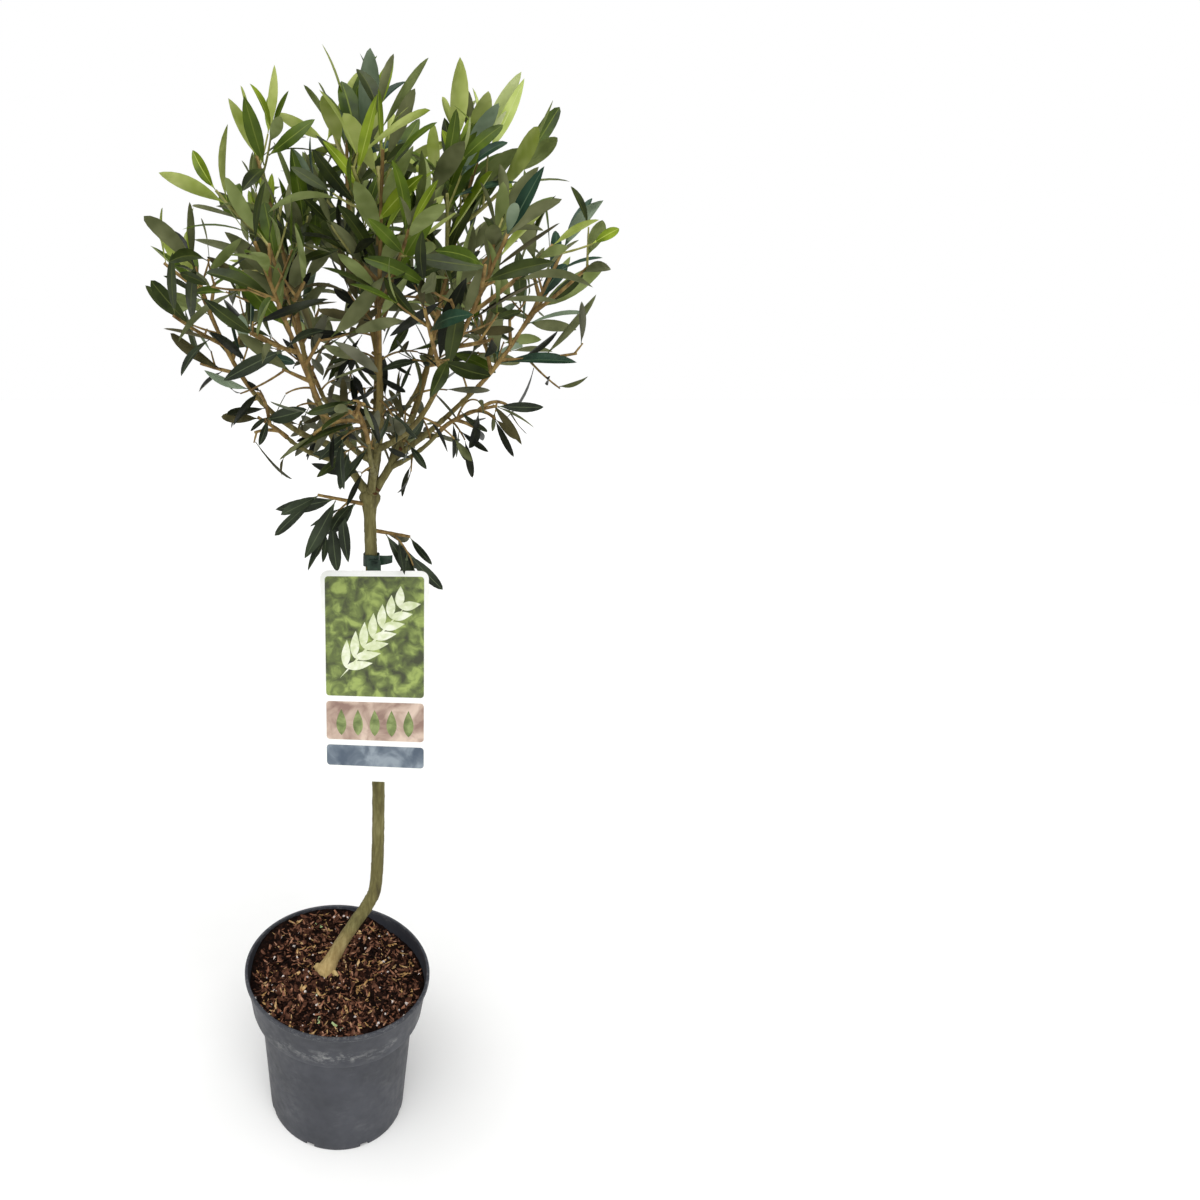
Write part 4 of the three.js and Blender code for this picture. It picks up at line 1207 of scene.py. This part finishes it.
def chip(random, length, width, thick, curl):
    """A split, bent flake of bark or fibre about the origin, with uneven sides"""
    vertices = []
    for i in range(CHIP.steps + 1):
        share = i / CHIP.steps - 0.5
        taper = 1 - abs(share) * random(CHIP.end) if abs(share) == 0.5 else random(CHIP.middle)
        drop = curl * length * (share * share * 4 - 0.5)
        for y, z in ((-0.5, -0.5), (0.5, -0.5), (0.5, 0.5), (-0.5, 0.5)):
            jitter = CHIP.jitter * (random() - 0.5)
            vertices.append((share * length, (y + jitter) * width * taper, z * thick * taper + drop))
    return np.array(vertices), stack_faces(CHIP.steps + 1, 4, flipped=True)


def place_chips(random, count, lengths, widths, thick, curl, tilt):
    """Chips strewn over the mix, clear of the trunk's foot and of the pot's wall"""
    heap = Heap()
    foot = on_trunk(SOIL.level + 1)
    edge = pot_inside(SOIL.level) - 1
    while count:
        length = random(lengths)
        reach = (edge - 0.5 * length) * math.sqrt(random())
        c, s = turned(TURN * random())
        x, y = reach * c, reach * s
        width = length * random(widths)
        vertices, faces = chip(random, length, width, thick * random(CHIP.thick), curl * random())
        angles = [(random() - 0.5) * 2 * tilt * DEGREE for _ in range(2)]
        matrix = np.array(Euler((*angles, TURN * random())).to_matrix())
        lift = random(CHIP.lift)
        if math.hypot(x - foot.x, y - foot.y) < SOIL.bare_foot:
            continue
        vertices = vertices @ matrix.T + (x, y, grainy_height(x, y) + lift)
        if (np.hypot(vertices[:, 0], vertices[:, 1]) > pot_inside(SOIL.level + 3) - CHIP.wall_gap).any():
            continue
        heap.add(vertices, faces)
        count -= 1
    return heap


def make_chips():
    random = random_from(CHIP.seed)
    for name, *numbers, tones in CHIPS:
        look = grained(name, 0.85, 0.1, (6, 3), tones, (4, 0.75, 0.95), ((0.9, 3), 0.3))
        place_chips(random, *numbers).piece(name, [look], "potting_mix", smooth=False)


# Label and tie. hung is the label's frame: its top's middle, its face toward -Y.
hung = Matrix.Translation(LABEL.top)
for angle, axis in ((LABEL.turn, "Z"), (LABEL.roll, "Y"), (LABEL.lean, "X")):
    hung = hung @ Matrix.Rotation(angle * DEGREE, 4, axis)


def rounded(left, right, low, high, corner):
    """The outline of a rounded rectangle, anticlockwise seen from the front"""
    left, right, low, high = left + corner, right - corner, low + corner, high - corner
    outline = []
    for quarter, (x, z) in enumerate(((right, low), (right, high), (left, high), (left, low))):
        for i in range(9):
            c, s = turned((90 * quarter - 90 + 90 * i / 8) * DEGREE)
            outline.append((x + corner * c, z + corner * s))
    return outline


def plate(outline, front, back, chamfer=0):
    """A flat plate on the hanging label, between two depths behind the middle of its card"""
    rows = [(outline, front + chamfer), (outline, back - chamfer)]
    if chamfer:
        middle = np.mean(outline, axis=0)
        inner = [tuple(np.array(p) + (middle - p) / np.hypot(*(middle - p)) * chamfer) for p in outline]
        rows = [(inner, front), *rows, (inner, back)]
    vertices = [hung @ Vector((x, y, z)) for ring, y in rows for x, z in ring]
    return vertices, stack_faces(len(rows), len(outline))


def motif(x, z, length, width, turn):
    """The outline of a leaf shape that stands at x, z and leans by turn"""
    outline = []
    c, s = turned(turn * DEGREE)
    for i in range(24):
        side = 1 if i < 12 else -1
        along = i / 12 if i < 12 else 2 - i / 12
        across = side * width / 2 * math.sin(math.pi * along**0.8)
        outline.append((x + across * c + along * length * s, z - across * s + along * length * c))
    return outline


def print_look(name, scale, tones):
    gloss, relief = (14, 0.3, 0.42), ((0.6, 2), 0.02, 0.3)
    return grained(name, 0.35, 0.5, (scale, 3, 0.5, 0.6), tones, gloss, relief, (0.34, 0.5, 0.66))


def make_label():
    half, thick = LABEL.width / 2, LABEL.thickness / 2
    card = print_look("card", 30, (0xF0F1EC, 0xF5F6F2, 0xFAFAF8))
    outline = rounded(-half, half, -LABEL.height, 0, LABEL.corner)
    shape = plate(outline, -thick, thick, LABEL.chamfer)
    mark_sharp(piece("label_card", *shape, [card], "label", ["plant_label"]), 30)
    front, side = -thick - LABEL.ink, half - LABEL.margin
    panels = Heap()
    for kind, (_, _, _, low, high) in enumerate(PANELS):
        panels.add(*plate(rounded(-side, side, low, high, 3), front, -thick), kind)
    panels.piece("label_panels", [print_look(*row[:3]) for row in PANELS], "label", smooth=False)
    shapes = Heap()
    for i in range(SPRAY.pairs):
        x, z = (SPRAY.foot[k] + SPRAY.step[k] * i for k in range(2))
        for turn in (SPRAY.turn + SPRAY.lean, SPRAY.turn - SPRAY.lean):
            outline = motif(x, z, SPRAY.leaf[0] - i, SPRAY.leaf[1], turn)
            shapes.add(*plate(outline, front - LABEL.ink, front))
    shapes.add(*plate(motif(*SPRAY.stem, SPRAY.turn), front - 2 * LABEL.ink, front))
    x, z = LEAF_ROW.foot
    for i in range(LEAF_ROW.count):
        outline = motif(x + LEAF_ROW.step * i, z, *LEAF_ROW.leaf, 0)
        shapes.add(*plate(outline, front - LABEL.ink, front), 1)
    pale = print_look("print_pale", 8, (0xC9D4A2, 0xDCE3BF, 0xEEF1DC))
    green = print_look("print_leafgreen", 8, (0x5F6E3C, 0x77864E, 0x93A167))
    shapes.piece("label_motifs", [pale, green], "label", smooth=False)


def tie_band(centre, inner):
    """A wavy band round the trunk with a rounded section"""
    vertices = []
    for k, (c, s) in enumerate(circle(TIE.sides)):
        wave = TIE.wave * math.sin(TIE.waves * (TURN * k / TIE.sides) + TIE.wave_start)
        for out, up in TIE.section:
            radius = inner + out * TIE.thickness
            z = centre.z + up * TIE.height / 2 + wave * (1 if up else TIE.middle_wave)
            vertices.append((centre.x + radius * c, centre.y + radius * s, z))
    # The last ring of points is the first one again
    faces = stack_faces(TIE.sides + 1, len(TIE.section))[:-2]
    return vertices, [tuple(i % len(vertices) for i in face) for face in faces]


def tie_flap(centre, inner):
    """The folded end, which stands out to the right"""
    vertices = []
    for i in range(FLAP.steps + 1):
        share = i / FLAP.steps
        x = centre.x + inner + FLAP.gap + FLAP.reach * share
        y = centre.y - FLAP.forward - FLAP.curl * math.sin(FLAP.curl_turn * share)
        for up, deep in FLAP.section:
            z = centre.z + up * (1 - FLAP.taper * share) + FLAP.rise * share
            vertices.append((x, y + deep, z))
    return vertices, stack_faces(FLAP.steps + 1, len(FLAP.section))


def make_tie():
    """A soft band round the trunk with its folded end, and the strap that holds the card"""
    centre = on_trunk(TIE.level)
    inner = trunk_radius(TIE.level) + CLEARANCE + TIE.ease
    heap = Heap()
    heap.add(*tie_band(centre, inner))
    width, thick, drop = TIE.strap
    behind = LABEL.thickness / 2 + CLEARANCE
    strap = rounded(-width / 2, width / 2, -drop / 2, drop / 2 - 1, 1.5)
    heap.add(*plate(strap, behind, behind + thick, LABEL.chamfer))
    bridge = rounded(-width / 4, width / 4, width / 4, 3 * width / 4, 1)
    heap.add(*plate(bridge, behind, behind + thick + TIE.bridge))
    heap.add(*tie_flap(centre, inner))
    tones = (0x13231A, 0x1C3224, 0x284431)
    look = grained("tie_plastic", 0.5, 0.45, (5, 3), tones, (3, 0.42, 0.6), ((1, 2), 0.15))
    mark_sharp(heap.piece("tie_band", [look], "tie", ["label_tie"]), 40)


make_camera()
make_stage()
make_pot()
make_soil()
make_chips()
make_bark()

all_leaves, all_twigs = Leaves(), []
masses = set_spaces()
source_twigs = [grow_mass(mass, all_leaves) for mass in masses]
for mass, twigs in zip(masses, source_twigs):
    all_twigs += twigs
    all_twigs += grow_fine(mass, twigs, all_leaves)
all_twigs += grow_spurs(all_leaves)
mass_names = [row[0] for row in MASSES]
make_twigs(all_twigs, mass_names)
make_leaves(all_leaves, mass_names)
make_label()
make_tie()
